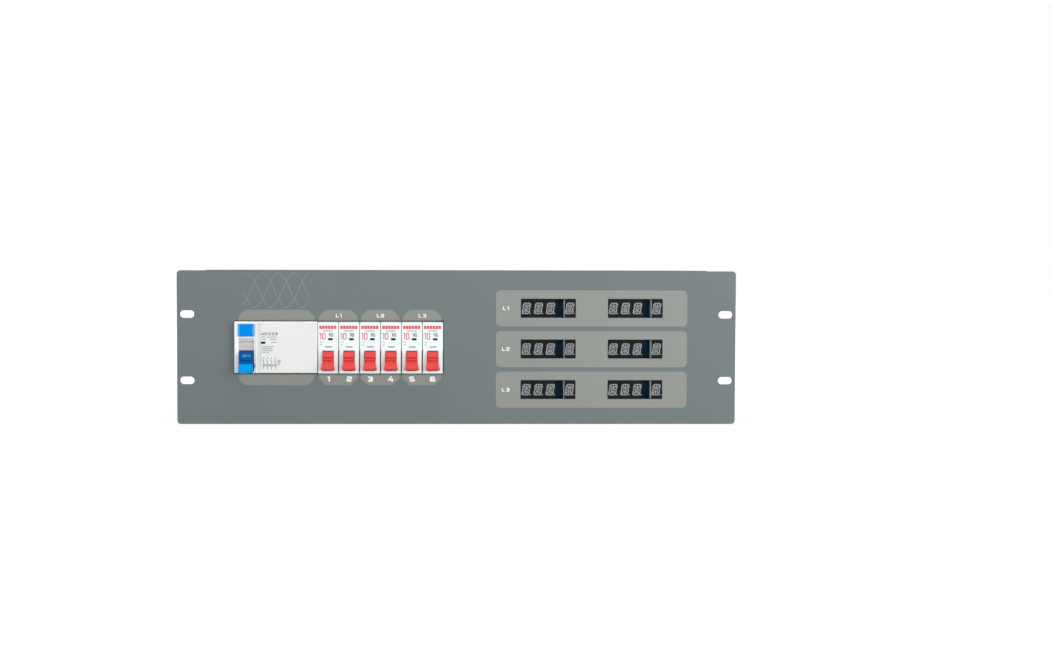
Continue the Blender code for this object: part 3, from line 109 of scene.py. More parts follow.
# Breakers and RCCB
NOSE_HEIGHT = 44.5 * MM
NOSE_DEPTH = 14 * MM
NOSE_TOP = PANEL_MIDDLE + NOSE_HEIGHT / 2
NOSE_BOTTOM = PANEL_MIDDLE - NOSE_HEIGHT / 2
NOSE_EDGE = 0.6 * MM
HOLE_EDGE = 0.25 * MM
REAR_OVERLAP = 0.5 * MM
CUTOUT_TOP = NOSE_TOP + 1.0 * MM
CUTOUT_BOTTOM = NOSE_BOTTOM - 1.0 * MM
CUTOUT_INSET = 0.05 * MM
CUTOUT_SPARE = 0.6 * MM
BREAKER_DRUM_WIDTH = 8.9 * MM
TOGGLE_CLEARANCE = 0.4 * MM
RECESS_HALF = 6.5 * MM
RIDGE_PROUD = 0.8 * MM
RIM_PROUD = 0.25 * MM
BUTTON_EXTRA = 0.05 * MM

# Meters
PHASES = ("l1", "l2", "l3")
METERS = ("volt", "amp")
METER_PATCH_LEFT = 33.5 * MM
METER_PATCH_RIGHT = 199.2 * MM
METER_PATCH_HEIGHT = 31.3 * MM
METER_PATCH_CORNER = 4.0 * MM
METER_LABEL_X = 42.0 * MM
WINDOW_WIDTH = 47.4 * MM
WINDOW_HEIGHT = 16.3 * MM
WINDOW_RISE = 0.1 * MM
DIGIT_WIDTH = 6.9 * MM
DIGIT_HEIGHT = 9.9 * MM
DIGIT_PITCH = 10.45 * MM
DIGIT_SLANT = math.tan(math.radians(9))
SEGMENT_WIDTH = 0.95 * MM
SEGMENT_GAP = 0.12 * MM

# Rear: the seal under each fitting, how far an outlet's rim stands proud, the distance of its contacts
# from its middle, and a screw head's height as a share of its radius
GASKET = 0.3 * MM
OUTLET_LIP = 0.6 * MM
CONTACT_OUT = 9.5 * MM
SCREW_RISE = 0.42

# Strength of the even light from all round
WORLD_LIGHT = 0.3

# Finished materials by name, and a line of even width through points
MATERIAL = {}
Line = namedtuple("Line", "points width")


# Outlines

def rectangle(left, bottom, right, top, corner=0.0, steps=8):
    """Return a rectangle's outline, anticlockwise, with round corners where a radius is given."""
    if corner == 0:
        return [(right, top), (left, top), (left, bottom), (right, bottom)]
    outline = []
    middles = (
        (right - corner, top - corner),
        (left + corner, top - corner),
        (left + corner, bottom + corner),
        (right - corner, bottom + corner),
    )
    for quarter, (x, z) in enumerate(middles):
        for step in range(steps + 1):
            angle = (quarter + step / steps) * math.pi / 2
            outline.append((x + corner * math.cos(angle), z + corner * math.sin(angle)))
    return outline


def circle(x, z, radius, steps=48):
    """Return a circle's outline, anticlockwise."""
    angles = [math.tau * step / steps for step in range(steps)]
    return [(x + radius * math.cos(angle), z + radius * math.sin(angle)) for angle in angles]


def four_places(x, z, half_width, half_height):
    """Return the corners of a rectangle round a middle, the left ones first."""
    return [(x + side * half_width, z + level * half_height) for side in (-1, 1) for level in (-1, 1)]


def area(outline):
    """Return an outline's signed area, positive where it runs anticlockwise."""
    following = outline[1:] + outline[:1]
    return sum(a[0] * b[1] - b[0] * a[1] for a, b in zip(outline, following)) / 2


def side_steps(points, distance, closed):
    """Return the points moved to their left by a distance, with mitred corners."""
    moved = []
    last = len(points) - 1
    for index, point in enumerate(points):
        here = Vector(point)
        before = Vector(points[index - 1]) if closed or index > 0 else None
        after = Vector(points[(index + 1) % len(points)]) if closed or index < last else None
        ways = []
        if before is not None:
            ways.append((here - before).normalized())
        if after is not None:
            ways.append((after - here).normalized())
        normals = [Vector((-way.y, way.x)) for way in ways]
        if len(normals) == 1:
            shift = normals[0]
        else:
            shift = (normals[0] + normals[1]) / max(MITRE_LIMIT, 1 + normals[0].dot(normals[1]))
        moved.append(tuple(here + shift * distance))
    return moved


def round_corners(points, reach, steps=4):
    """Return a path with its wide corners rounded, where each arc starts up to a reach from its corner."""
    path = [points[0]]
    for before, corner, after in zip(points, points[1:], points[2:]):
        here = Vector(corner)
        arms = [Vector(end) - here for end in (before, after)]
        if arms[0].angle(arms[1]) < SHARP_CORNER:
            path.append(corner)
            continue
        start, end = (here + arm * min(LONGEST_ROUNDING, reach / arm.length) for arm in arms)
        for step in range(steps + 1):
            share = step / steps
            path.append(tuple(start.lerp(here, share).lerp(here.lerp(end, share), share)))
    path.append(points[-1])
    return path


def finely(points, step):
    """Return a path with points added on its long parts, at most a step apart."""
    path = [points[0]]
    for start, end in zip(points, points[1:]):
        parts = math.ceil(math.dist(start, end) / step)
        for part in range(1, parts + 1):
            path.append(tuple(Vector(start).lerp(Vector(end), part / parts)))
    return path


# Meshes

def join_rings(bm, rings, closed=False):
    """Add the faces between rings or single points, and from the last to the first where closed."""
    pairs = list(zip(rings, rings[1:]))
    if closed:
        pairs.append((rings[-1], rings[0]))
    for ring, following in pairs:
        count = max(len(ring), len(following))
        for here in range(count):
            there = (here + 1) % count
            if len(ring) == 1:
                bm.faces.new((ring[0], following[there], following[here]))
            elif len(following) == 1:
                bm.faces.new((ring[here], ring[there], following[0]))
            else:
                bm.faces.new((ring[here], ring[there], following[there], following[here]))


def add_line(bm, line, front, back):
    """Add a thin raised line of even width, which closes where its ends are the same point."""
    closed = line.points[0] == line.points[-1]
    points = line.points[:-1] if closed else line.points
    sides = [side_steps(points, way * line.width / 2, closed) for way in (1, -1)]
    rings = []
    for (left_x, left_z), (right_x, right_z) in zip(*sides):
        corners = [(left_x, front, left_z), (right_x, front, right_z)]
        corners += [(right_x, back, right_z), (left_x, back, left_z)]
        rings.append([bm.verts.new(corner) for corner in corners])
    if not closed:
        bm.faces.new(rings[0][::-1])
        bm.faces.new(rings[-1])
    join_rings(bm, rings, closed)


def edge_profile(front, back, edge, steps):
    """Return how far in and how deep each ring of a plate lies, with a round edge front and back."""
    if edge == 0:
        return [(0, front), (0, back)]
    ways = 1 if back > front else -1
    rings = []
    for step in range(steps + 1):
        angle = math.pi / 2 * step / steps
        rings.append((edge * (1 - math.sin(angle)), front + ways * edge * (1 - math.cos(angle))))
    for inward, depth in reversed(rings[:]):
        rings.append((inward, back + front - depth))
    return rings


def add_slab(bm, outlines, front, back, edges=0.0, steps=3):
    """Add a plate to a bmesh: the first outline is its outside, and the others are holes.

    An edge is a radius, or the rings from front to back as pairs of how far in and how deep they lie.
    """
    if not hasattr(edges, "__len__"):
        edges = [edges] * len(outlines)
    caps = [[], []]
    for index, (outline, edge) in enumerate(zip(outlines, edges)):
        anticlockwise = area(outline) > 0
        if anticlockwise != (index == 0):
            outline = outline[::-1]
        rings = []
        profile = edge if hasattr(edge, "__len__") else edge_profile(front, back, edge, steps)
        for inward, depth in profile:
            shape = side_steps(outline, inward, True) if inward else outline
            rings.append([bm.verts.new((x, depth, z)) for x, z in shape])
        join_rings(bm, rings)
        for cap, ring in zip(caps, (rings[0], rings[-1])):
            cap.append(ring)
    for cap in caps:
        flat = [[Vector((vert.co.x, vert.co.z, 0)) for vert in ring] for ring in cap]
        verts = [vert for ring in cap for vert in ring]
        for triangle in geometry.tessellate_polygon(flat):
            corners = [verts[index] for index in triangle]
            if len(set(corners)) == 3:
                bm.faces.new(corners)


def add_block(bm, low, high, edge=0.0, steps=2):
    """Add a box between two corners to a bmesh, with round edges."""
    low = Vector(low)
    high = Vector(high)
    size = high - low
    place = Matrix.Translation((low + high) / 2) @ Matrix.Diagonal((*size, 1))
    made = bmesh.ops.create_cube(bm, size=1, matrix=place)
    if edge:
        edges = {line for vert in made["verts"] for line in vert.link_edges}
        bmesh.ops.bevel(
            bm, geom=list(edges), offset=edge, segments=steps, profile=0.5, affect="EDGES", clamp_overlap=True
        )


def from_face(face, pairs, around=0.0):
    """Return a profile from millimetres: how far out from a radius, and how deep behind a face."""
    return [(around + out * MM, face + depth * MM) for out, depth in pairs]


def add_turned(bm, profile, x, z, steps=64, closed=False):
    """Add a shape turned round an axis along Y. The profile lists radius and depth."""
    rings = []
    for radius, depth in profile:
        if radius == 0:
            rings.append([bm.verts.new((x, depth, z))])
        else:
            rings.append([bm.verts.new((u, depth, w)) for u, w in circle(x, z, radius, steps)])
    join_rings(bm, rings, closed)


def pour(bm, part):
    """Move all of a bmesh into another one."""
    copy = bpy.data.meshes.new("poured")
    part.to_mesh(copy)
    part.free()
    bm.from_mesh(copy)
    bpy.data.meshes.remove(copy)


def add_across(bm, outline, x, pivot, half_width, widening=None, edge=0.0):
    """Add a shape drawn in depth and height round a pivot, and as wide as widening says."""
    part = bmesh.new()
    add_slab(part, [outline], -half_width, half_width, edge, 3)
    for vert in part.verts:
        side, depth, height = vert.co.y, vert.co.x, vert.co.z
        if widening:
            side *= widening(depth, height)
        vert.co = (x + side, pivot[0] + depth, pivot[1] + height)
    pour(bm, part)


def laid_flat(bm, x, y, face):
    """Turn what was drawn in X and Z, with its depth along Y, to lie on top with its front at a height."""
    for vert in bm.verts:
        vert.co = (x + vert.co.x, y + vert.co.z, face - vert.co.y)


def keep_flat(thing):
    """Keep flat faces flat beside round edges."""
    weigh = thing.modifiers.new("flat faces stay flat", "WEIGHTED_NORMAL")
    weigh.keep_sharp = True


def piece(name, bm, *materials, body=CASE, slot):
    """Make a named piece from a bmesh that rides on a body."""
    bmesh.ops.recalc_face_normals(bm, faces=bm.faces)
    mesh = bpy.data.meshes.new(name)
    bm.to_mesh(mesh)
    bm.free()
    for material in materials:
        mesh.materials.append(MATERIAL[material])
    mesh.shade_smooth()
    mesh.set_sharp_from_angle(angle=SHARP_EDGE)
    thing = bpy.data.objects.new(name, mesh)
    bpy.context.scene.collection.objects.link(thing)
    keep_flat(thing)
    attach(thing, body)
    return thing


def painted(name, shapes, front, back, material, slot):
    """Make one thin printed piece from lines and from groups of outlines."""
    bm = bmesh.new()
    for shape in shapes:
        if isinstance(shape, Line):
            add_line(bm, shape, front, back)
        else:
            add_slab(bm, shape, front, back)
    return piece(name, bm, material, slot=slot)


# Plain signs drawn with straight strokes, on a grid one unit high

def sign_strokes(letter, across, up):
    """Return a sign's width and its strokes on a grid one unit high. Across and up are half a line."""
    signs = {
        "0": (0.8, [[(0.4, 0), (0.8, 0), (0.8, 1), (0, 1), (0, 0), (0.4, 0)]]),
        "1": (0.4, [[(0, 1), (0.4 - across, 1)], [(0.4, 1 + up), (0.4, -up)]]),
        "2": (1.0, [[(0, 1), (1, 1), (1, 0.5), (0, 0.5), (0, 0), (1, 0)]]),
        "3": (1.0, [[(0, 1), (1, 1), (1, 0), (0, 0)], [(0.25, 0.5), (1 - across, 0.5)]]),
        "4": (1.0, [
            [(0.62, 1 + up), (0, 0.3), (1.02, 0.3)],
            [(0.78, 0.66), (0.78, 0.3 + up)],
            [(0.78, 0.3 - up), (0.78, -up)],
        ]),
        "5": (1.0, [[(1, 1), (0, 1), (0, 0.5), (1, 0.5), (1, 0), (0, 0)]]),
        "6": (1.0, [[(1, 1), (0, 1), (0, 0), (1, 0), (1, 0.5), (across, 0.5)]]),
        "L": (0.85, [[(0, 1 + up), (0, 0), (0.85, 0)]]),
        "F": (0.85, [[(0, -up), (0, 1), (0.85, 1)], [(across, 0.5), (0.7, 0.5)]]),
        "N": (1.0, [
            [(0, -up), (0, 1 + up)],
            [(1.8 * across, 1), (1 - 1.8 * across, 0)],
            [(1, -up), (1, 1 + up)],
        ]),
        "O": (1.0, [[(0.5, 0), (1, 0), (1, 1), (0, 1), (0, 0), (0.5, 0)]]),
        ".": (0.0, [[(0, -up), (0, up)]]),
    }
    return signs[letter]


def sign(text, x, z, height, width_ratio=0.9, weight=0.22):
    """Return the lines of a word of plain signs whose middle is at x and z."""
    thick = height * weight
    tall = height - thick
    wide = height * width_ratio - thick
    gap = thick * 1.9
    drawn = [sign_strokes(letter, thick / 2 / wide, thick / 2 / tall) for letter in text]
    total = sum(width * wide for width, _ in drawn) + gap * (len(text) - 1)
    start = x - total / 2
    lines = []
    for width, strokes in drawn:
        for stroke in strokes:
            points = [(start + u * wide, z + (v - 0.5) * tall) for u, v in stroke]
            lines.append(Line(round_corners(points, thick * 0.7), thick))
        start += width * wide + gap
    return lines


def earth_sign(x, z, width):
    """Return the lines of the plain earth sign: a stem on three bars."""
    thick = width * 0.14
    lines = [Line([(x, z + width * 0.55), (x, z + thick / 2)], thick)]
    for bar in range(3):
        half = width * (0.5 - 0.17 * bar)
        level = z - bar * 2 * thick
        lines.append(Line([(x - half, level), (x + half, level)], thick))
    return lines


def seen_from_behind(lines, x):
    """Return lines mirrored at x, so that they read right from the rear."""
    return [Line([(2 * x - u, v) for u, v in line.points], line.width) for line in lines]


# Materials

def srgb(red, green, blue):
    """Return a display colour, 0 to 255 a channel, as the linear values that Blender takes."""
    values = []
    for channel in (red, green, blue):
        value = channel / 255
        values.append(value / 12.92 if value <= 0.04045 else ((value + 0.055) / 1.055) ** 2.4)
    return (*values, 1.0)


def scaled(colour, factor):
    """Return a colour made lighter or darker by a factor."""
    return (*(min(1.0, channel * factor) for channel in colour[:3]), 1.0)


def fill(tree, socket, value):
    """Set a socket to a value, or link it to a socket or to a node's first output."""
    if isinstance(value, bpy.types.Node):
        value = value.outputs[0]
    if isinstance(value, bpy.types.NodeSocket):
        tree.links.new(value, socket)
    else:
        socket.default_value = value


def add_node(tree, kind, *inputs, settings=None, **sockets):
    """Add a shader node, set its options, and fill its sockets in order or by name."""
    node = tree.nodes.new(kind)
    for name, value in (settings or {}).items():
        setattr(node, name, value)
    for socket, value in zip(node.inputs, inputs):
        fill(tree, socket, value)
    for name, value in sockets.items():
        fill(tree, node.inputs[name.replace("_", " ")], value)
    return node


def empty_tree(owner):
    """Return the node tree of a material or world with nothing in it."""
    owner.use_nodes = True
    owner.node_tree.nodes.clear()
    return owner.node_tree


def mixed(tree, factor, first, second, blend="MIX"):
    """Mix two colours and return the result's socket."""
    node = add_node(tree, "ShaderNodeMix", settings={"data_type": "RGBA", "blend_type": blend})
    factor_socket, first_socket, second_socket = 0, 6, 7
    fill(tree, node.inputs[factor_socket], factor)
    fill(tree, node.inputs[first_socket], first)
    fill(tree, node.inputs[second_socket], second)
    return node.outputs[2]


def ranged(tree, value, low, high, from_low=0.3, from_high=0.7):
    """Map a value to a range and return the result's socket. Most noise lies between 0.3 and 0.7."""
    node = add_node(
        tree, "ShaderNodeMapRange", settings={"clamp": True},
        Value=value, From_Min=from_low, From_Max=from_high, To_Min=low, To_Max=high,
    )
    return node.outputs["Result"]


def noise(tree, place, size, detail=2.0, roughness=0.5):
    """Add a noise whose features are about this size in metres and return its value."""
    node = add_node(
        tree, "ShaderNodeTexNoise", Vector=place, Scale=0.7 / size, Detail=detail, Roughness=roughness
    )
    return node.outputs["Fac"]


def surface(
    name, colour, roughness, metallic=0.0, specular=0.5, patch=25, patch_spread=0.04, grain=0.5,
    grain_spread=0.03, depth=0.01, gloss_spread=0.06, edge_highlight=0.0, edge_highlight_colour=None, stretch=(1, 1, 1),
):
    """Make a material with colour patches, fine grain, bump, uneven gloss, and edges painted lighter as a
    highlight.

    Colours are display colours. The sizes of patch and grain and the bump's depth are in millimetres.
    """
    material = bpy.data.materials.new(name)
    MATERIAL[name] = material
    tree = empty_tree(material)
    colour = srgb(*colour)
    where = add_node(tree, "ShaderNodeTexCoord").outputs["Object"]
    along = add_node(tree, "ShaderNodeMapping", Vector=where, Scale=stretch).outputs["Vector"]
    patches = noise(tree, where, patch * MM, 3.0)
    grains = noise(tree, along, grain * MM, 2.0, 0.6)
    tone = ranged(tree, patches, 0.0, 1.0)
    base = mixed(tree, tone, scaled(colour, 1 - patch_spread), scaled(colour, 1 + patch_spread))
    speckle = ranged(tree, grains, 0.0, 1.0)
    dark = scaled(WHITE, 1 - 2 * grain_spread)
    base = mixed(tree, 1.0, base, mixed(tree, speckle, dark, WHITE), "MULTIPLY")
    # Painted highlight: convex edges, found by pointiness, are painted in the edge highlight colour.
    if edge_highlight:
        corners = add_node(tree, "ShaderNodeNewGeometry").outputs["Pointiness"]
        edge_lit = ranged(tree, corners, 0.0, edge_highlight, 0.505, 0.56)
        bright = srgb(*edge_highlight_colour) if edge_highlight_colour else scaled(colour, 1.5)
        base = mixed(tree, edge_lit, base, bright)
    gloss = ranged(tree, patches, roughness - gloss_spread, roughness + gloss_spread)
    bump = add_node(tree, "ShaderNodeBump", Height=grains, Distance=depth * MM, Strength=1.0)
    shader = add_node(
        tree, "ShaderNodeBsdfPrincipled", Base_Color=base, Roughness=gloss, Normal=bump,
        Metallic=metallic, Specular_IOR_Level=specular,
    )
    add_node(tree, "ShaderNodeOutputMaterial", shader)


def make_paints():
    """Powder coats of the panel and the case, and the printed inks."""
    # Both powder coats have their edges painted lighter as a painted highlight.
    surface(
        "panel_powder_coat", (108, 118, 119), 0.55, specular=0.22, patch=60, patch_spread=0.025,
        grain=0.9, grain_spread=0.015, depth=0.012, edge_highlight=0.2, edge_highlight_colour=(116, 124, 125),
    )
    surface(
        "case_powder_coat", (100, 109, 110), 0.58, specular=0.25, patch=110, patch_spread=0.02,
        grain=1.1, grain_spread=0.02, depth=0.016, gloss_spread=0.02, edge_highlight=0.2, edge_highlight_colour=(116, 124, 125),
    )
    broad = {
        "specular": 0.2, "patch": 30, "patch_spread": 0.015,
        "grain": 0.7, "grain_spread": 0.012, "depth": 0.006,
    }
    surface("warm_grey_ink", (139, 141, 135), 0.55, **broad)
    surface("light_grey_ink", (141, 144, 139), 0.55, **broad)
    fine = {"grain": 0.4, "depth": 0.004}
    greys = {
        "wave": (131, 139, 137), "white": (244, 246, 245),
        "grey": (84, 88, 91), "pale_grey": (150, 154, 156),
    }
    for name, colour in greys.items():
        surface(f"{name}_ink", colour, 0.5, specular=0.2, **fine)
    surface("red_ink", (218, 98, 100), 0.45, specular=0.2, **fine)
    surface("pale_blue_ink", (92, 162, 220), 0.45, specular=0.1, **fine)


def make_pale_plastics():
    """Smooth white and grey plastics of the breakers. Two of the greys are painted darker as shade."""
    smooth = {"specular": 0.25, "grain": 0.35, "grain_spread": 0.006, "depth": 0.004}
    # The white plastics' edges are painted in a slightly different white as a painted highlight.
    tone_and_edge_highlight = {"patch_spread": 0.008, "edge_highlight": 0.1}
    surface(
        "white_plastic", (232, 241, 241), 0.4, patch=12, edge_highlight_colour=(236, 244, 244), **smooth, **tone_and_edge_highlight
    )
    surface(
        "off_white_plastic", (242, 243, 241), 0.4, patch=14, edge_highlight_colour=(240, 241, 239), **smooth, **tone_and_edge_highlight
    )
    surface("label_field_plastic", (228, 229, 226), 0.42, patch=14, patch_spread=0.006, **smooth)
    # Darker grey of the strip beside the RCCB's label field: painted shade.
    surface(
        "label_strip_painted_shade", (216, 219, 216), 0.45, specular=0.2, patch=10, patch_spread=0.02,
        grain=0.35, grain_spread=0.01, depth=0.004,
    )
    # Grey of the RCCB's recess floor: a light grey made darker as painted shade.
    surface(
        "recess_grey_and_painted_shade", (200, 200, 196), 0.45, specular=0.25, patch=10, patch_spread=0.02,
        grain=0.4, depth=0.005,
    )


def make_bright_plastics():
    """Coloured plastics of the levers and the test button."""
    fine = {"grain": 0.35, "grain_spread": 0.02, "depth": 0.005}
    # The red's edges are painted lighter as a painted highlight.
    surface(
        "red_plastic", (222, 72, 68), 0.4, specular=0.1, patch=6, edge_highlight=0.2, edge_highlight_colour=(234, 92, 86), **fine
    )
    blue = {"patch": 6, "patch_spread": 0.03}
    surface("button_blue_plastic", (0, 140, 234), 0.4, specular=0.02, **blue, **fine)
    # Lighter blue for the test button's sides: a painted highlight.
    surface("button_side_painted_highlight", (66, 184, 240), 0.4, specular=0.04, **blue, **fine)
    surface("lever_blue_plastic", (0, 151, 230), 0.4, specular=0.02, **blue, **fine)
    # Darker blue of the RCCB's drum: painted shade. Its strong small colour patches are a painted uneven
    # reflection.
    surface("drum_blue_painted_shade", (3, 86, 152), 0.36, specular=0.04, patch=4, patch_spread=0.1, **fine)


def make_rear_plastics():
    """Plastics of the inlet, the outlets and the dark recesses."""
    # The rear plastics' edges are painted lighter as a painted highlight.
    dark = {"specular": 0.3, "patch": 10, "grain": 0.4, "grain_spread": 0.05, "depth": 0.006, "edge_highlight": 0.2}
    surface("black_plastic", (34, 37, 37), 0.45, patch_spread=0.1, edge_highlight_colour=(60, 62, 62), **dark)
    surface("dark_insert_plastic", (52, 54, 57), 0.5, patch_spread=0.08, edge_highlight_colour=(80, 82, 84), **dark)
    surface(
        "signal_red_plastic", (190, 26, 28), 0.42, specular=0.25, patch=18, patch_spread=0.05,
        edge_highlight=0.3, edge_highlight_colour=(206, 60, 58),
    )
    surface(
        "dark_blue_plastic", (32, 44, 92), 0.45, specular=0.25, patch=12, patch_spread=0.07,
        grain=0.45, grain_spread=0.04, depth=0.008, edge_highlight=0.3, edge_highlight_colour=(58, 70, 118),
    )


def make_display_materials():
    """Digit blocks, their segments and boards, and the breakers' small windows."""
    surface(
        "display_face", (20, 22, 22), 0.5, specular=0.08, patch=15, patch_spread=0.08,
        grain=0.3, grain_spread=0.04, depth=0.003,
    )
    surface("display_side", (196, 206, 212), 0.45, specular=0.3, patch=8, grain=0.3, depth=0.004)
    surface(
        "unlit_segment", (150, 154, 156), 0.45, specular=0.12, patch=4, patch_spread=0.03,
        grain=0.3, depth=0.003,
    )
    surface(
        "blue_board_lacquer", (5, 45, 68), 0.45, specular=0.06, patch=5, patch_spread=0.2,
        grain=0.9, grain_spread=0.08,
    )
    surface(
        "dark_window", (14, 32, 24), 0.2, specular=0.2, patch=3, patch_spread=0.1, grain=0.3, depth=0.001
    )


def make_metals():
    """Bare metals of the rail, the screws, the contacts and the bars."""
    # Zinc, steel and nickel have their edges painted lighter as a painted highlight.
    surface(
        "zinc_plate", (176, 180, 182), 0.36, metallic=1.0, patch=9, patch_spread=0.07,
        grain=0.6, grain_spread=0.05, depth=0.006, gloss_spread=0.1, edge_highlight=0.3,
    )
    surface(
        "screw_steel", (168, 170, 172), 0.3, metallic=1.0, patch=3, patch_spread=0.08,
        grain=0.3, grain_spread=0.06, depth=0.004, edge_highlight=0.3,
    )
    surface(
        "nickel_plate", (196, 190, 178), 0.28, metallic=1.0, patch=4, patch_spread=0.06,
        grain=0.3, grain_spread=0.04, depth=0.003, gloss_spread=0.08, edge_highlight=0.3,
    )
    surface(
        "brass", (196, 164, 92), 0.32, metallic=1.0, patch=6, patch_spread=0.1,
        grain=0.4, grain_spread=0.05, depth=0.005, gloss_spread=0.1,
    )
    surface(
        "copper", (200, 122, 84), 0.34, metallic=1.0, patch=7, patch_spread=0.12,
        grain_spread=0.06, depth=0.005, gloss_spread=0.1, stretch=(0.2, 1, 1),
    )


def make_wiring_materials():
    """Transformers and wires."""
    surface(
        "transformer_case", (40, 42, 46), 0.6, specular=0.35, patch=8, patch_spread=0.12,
        grain=0.7, grain_spread=0.1, depth=0.02,
    )
    sheath = {"specular": 0.4, "patch": 18, "depth": 0.006}
    surface("wire_sheath", (44, 45, 47), 0.48, patch_spread=0.12, grain_spread=0.05, **sheath)
    surface("blue_wire_sheath", (38, 92, 170), 0.46, patch_spread=0.08, grain_spread=0.04, **sheath)


def dress(node, material):
    """Give a CAD node a finished material in every slot."""
    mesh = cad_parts[node].data
    if not mesh.materials:
        mesh.materials.append(MATERIAL[material])
    for index in range(len(mesh.materials)):
        mesh.materials[index] = MATERIAL[material]


# Front panel

def node_bounds(name):
    """Return a node's lowest and highest corner, and its middle."""
    low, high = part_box(name)
    return low, high, (low + high) / 2


def breaker_spans():
    """Return the left and right side of the RCCB and of each breaker, from their CAD boxes."""
    names = ["rccb_housing"] + [f"breaker_housing_{number}" for number in range(1, 7)]
    return [(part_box(name)[0].x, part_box(name)[1].x) for name in names]


def meter_rows():
    """Return each phase's row height, from its digit blocks."""
    return [(phase, node_bounds(f"volt_digits_{phase}")[2].z) for phase in PHASES]


def window_spans():
    """Return each meter's window as its left and right side."""
    spans = {}
    for meter in METERS:
        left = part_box(f"{meter}_digits_l1")[0].x
        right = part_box(f"{meter}_unit_digit_l1")[1].x
        spare = (WINDOW_WIDTH - (right - left)) / 2
        spans[meter] = (left - spare, right + spare)
    return spans


def panel_outlines():
    """Return the panel's outline, its slots, the breaker cut-out and the windows, with their edges."""
    outlines = [rectangle(PANEL_LOW.x, PANEL_LOW.z, PANEL_HIGH.x, PANEL_TOP, PANEL_CORNER)]
    half = RACK_SLOT_LENGTH / 2
    tall = RACK_SLOT_HEIGHT / 2
    for x, z in four_places(0, PANEL_MIDDLE, PANEL_HIGH.x - RACK_SLOT_INSET, RACK_SLOT_SPACING / 2):
        outlines.append(rectangle(x - half, z - tall, x + half, z + tall, tall * 0.999, 16))
    edges = [PANEL_EDGE] * len(outlines)
    spans = breaker_spans()
    left = spans[0][0] + CUTOUT_INSET
    right = spans[-1][1] + CUTOUT_SPARE
    outlines.append(rectangle(left, CUTOUT_BOTTOM, right, CUTOUT_TOP, 0.8 * MM, 4))
    for _, row in meter_rows():
        for window_left, window_right in window_spans().values():
            low = row + WINDOW_RISE - WINDOW_HEIGHT / 2
            outlines.append(rectangle(window_left, low, window_right, low + WINDOW_HEIGHT, 0.5 * MM, 4))
    edges += [PANEL_EDGE / 2] * (len(outlines) - len(edges))
    return outlines, edges


def front_panel():
    """Rack panel with rounded edges, and the welded studs that hold the meter boards."""
    outlines, edges = panel_outlines()
    bm = bmesh.new()
    add_slab(bm, outlines, PANEL_FRONT, PANEL_BACK, edges)
    stud_start = PANEL_BACK - STUD_ROOT
    stud = [(0, stud_start), (STUD_RADIUS, stud_start), (STUD_RADIUS, PANEL_HIGH.y), (0, PANEL_HIGH.y)]
    for phase in PHASES:
        low, high, _ = node_bounds(f"meter_board_{phase}")
        for side in (low.x + STUD_INSET, high.x - STUD_INSET):
            for level in (low.z + STUD_INSET, high.z - STUD_INSET):
                add_turned(bm, stud, side, level, 20)
    panel = piece("front_panel_plate", bm, "panel_powder_coat", slot="panel")
    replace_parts(panel, "front_panel")


def half_plate(first, second, cut, end, way):
    """Return a printed field from the cut-out to its chamfered end. Way is 1 upwards, -1 downwards."""
    chamfer = PLATE_CHAMFER * way
    return [
        (first, cut), (first, end - chamfer), (first - chamfer, end),
        (second + chamfer, end), (second, end - chamfer), (second, cut),
    ]


def label_plates():
    """Warm grey printed fields round the RCCB and round each pair of breakers, with their signs."""
    spans = breaker_spans()
    front = PANEL_FRONT - INK
    groups = []
    for left, right in PLATE_SIDES:
        groups.append([half_plate(right * MM, left * MM, CUTOUT_TOP, PLATE_TOP, 1)])
        groups.append([half_plate(left * MM, right * MM, CUTOUT_BOTTOM, PLATE_BOTTOM, -1)])
    painted("printed_fields", groups, front, PANEL_FRONT, "warm_grey_ink", "panel")
    signs = []
    for number, (left, right) in enumerate(spans[1:], start=1):
        signs += sign(str(number), (left + right) / 2, NUMBER_MIDDLE, NUMBER_HEIGHT, 1.08, 0.265)
    for number in (1, 2, 3):
        middle = (spans[2 * number - 1][0] + spans[2 * number][1]) / 2
        signs += sign(f"L{number}", middle, LABEL_MIDDLE, LABEL_HEIGHT, 0.98, 0.22)
    painted("breaker_signs", signs, front - INK, front, "white_ink", "panel")


def meter_fields():
    """Light grey printed field round each meter row, with its sign."""
    front = PANEL_FRONT - INK
    half = METER_PATCH_HEIGHT / 2
    groups = []
    signs = []
    for number, (_, row) in enumerate(meter_rows(), start=1):
        field = [rectangle(METER_PATCH_LEFT, row - half, METER_PATCH_RIGHT, row + half, METER_PATCH_CORNER)]
        for left, right in window_spans().values():
            low = row + WINDOW_RISE - WINDOW_HEIGHT / 2 - PANEL_EDGE
            high = low + WINDOW_HEIGHT + 2 * PANEL_EDGE
            field.append(rectangle(left - PANEL_EDGE, low, right + PANEL_EDGE, high, 0.6 * MM, 4))
        groups.append(field)
        signs += sign(f"L{number}", METER_LABEL_X, row, LABEL_HEIGHT, 0.98, 0.23)
    painted("meter_fields", groups, front, PANEL_FRONT, "light_grey_ink", "panel")
    painted("meter_signs", signs, front - INK, front, "white_ink", "panel")


def three_phase_waves():
    """Plain three-phase sine lines printed at the top left."""
    steps = 90
    for phase in range(3):
        points = []
        for step in range(steps + 1):
            x = WAVE_LEFT + (WAVE_RIGHT - WAVE_LEFT) * step / steps
            angle = math.tau * ((x - WAVE_LEFT) / WAVE_LENGTH + phase / 3 + WAVE_PHASE)
            points.append((x, WAVE_MIDDLE + WAVE_HEIGHT * math.sin(angle)))
        front = PANEL_FRONT - INK * (1 + phase / 4)
        wave = Line(points, WAVE_LINE)
        painted(f"wave_{phase + 1}", [wave], front, PANEL_FRONT, "wave_ink", "panel")


# Breakers

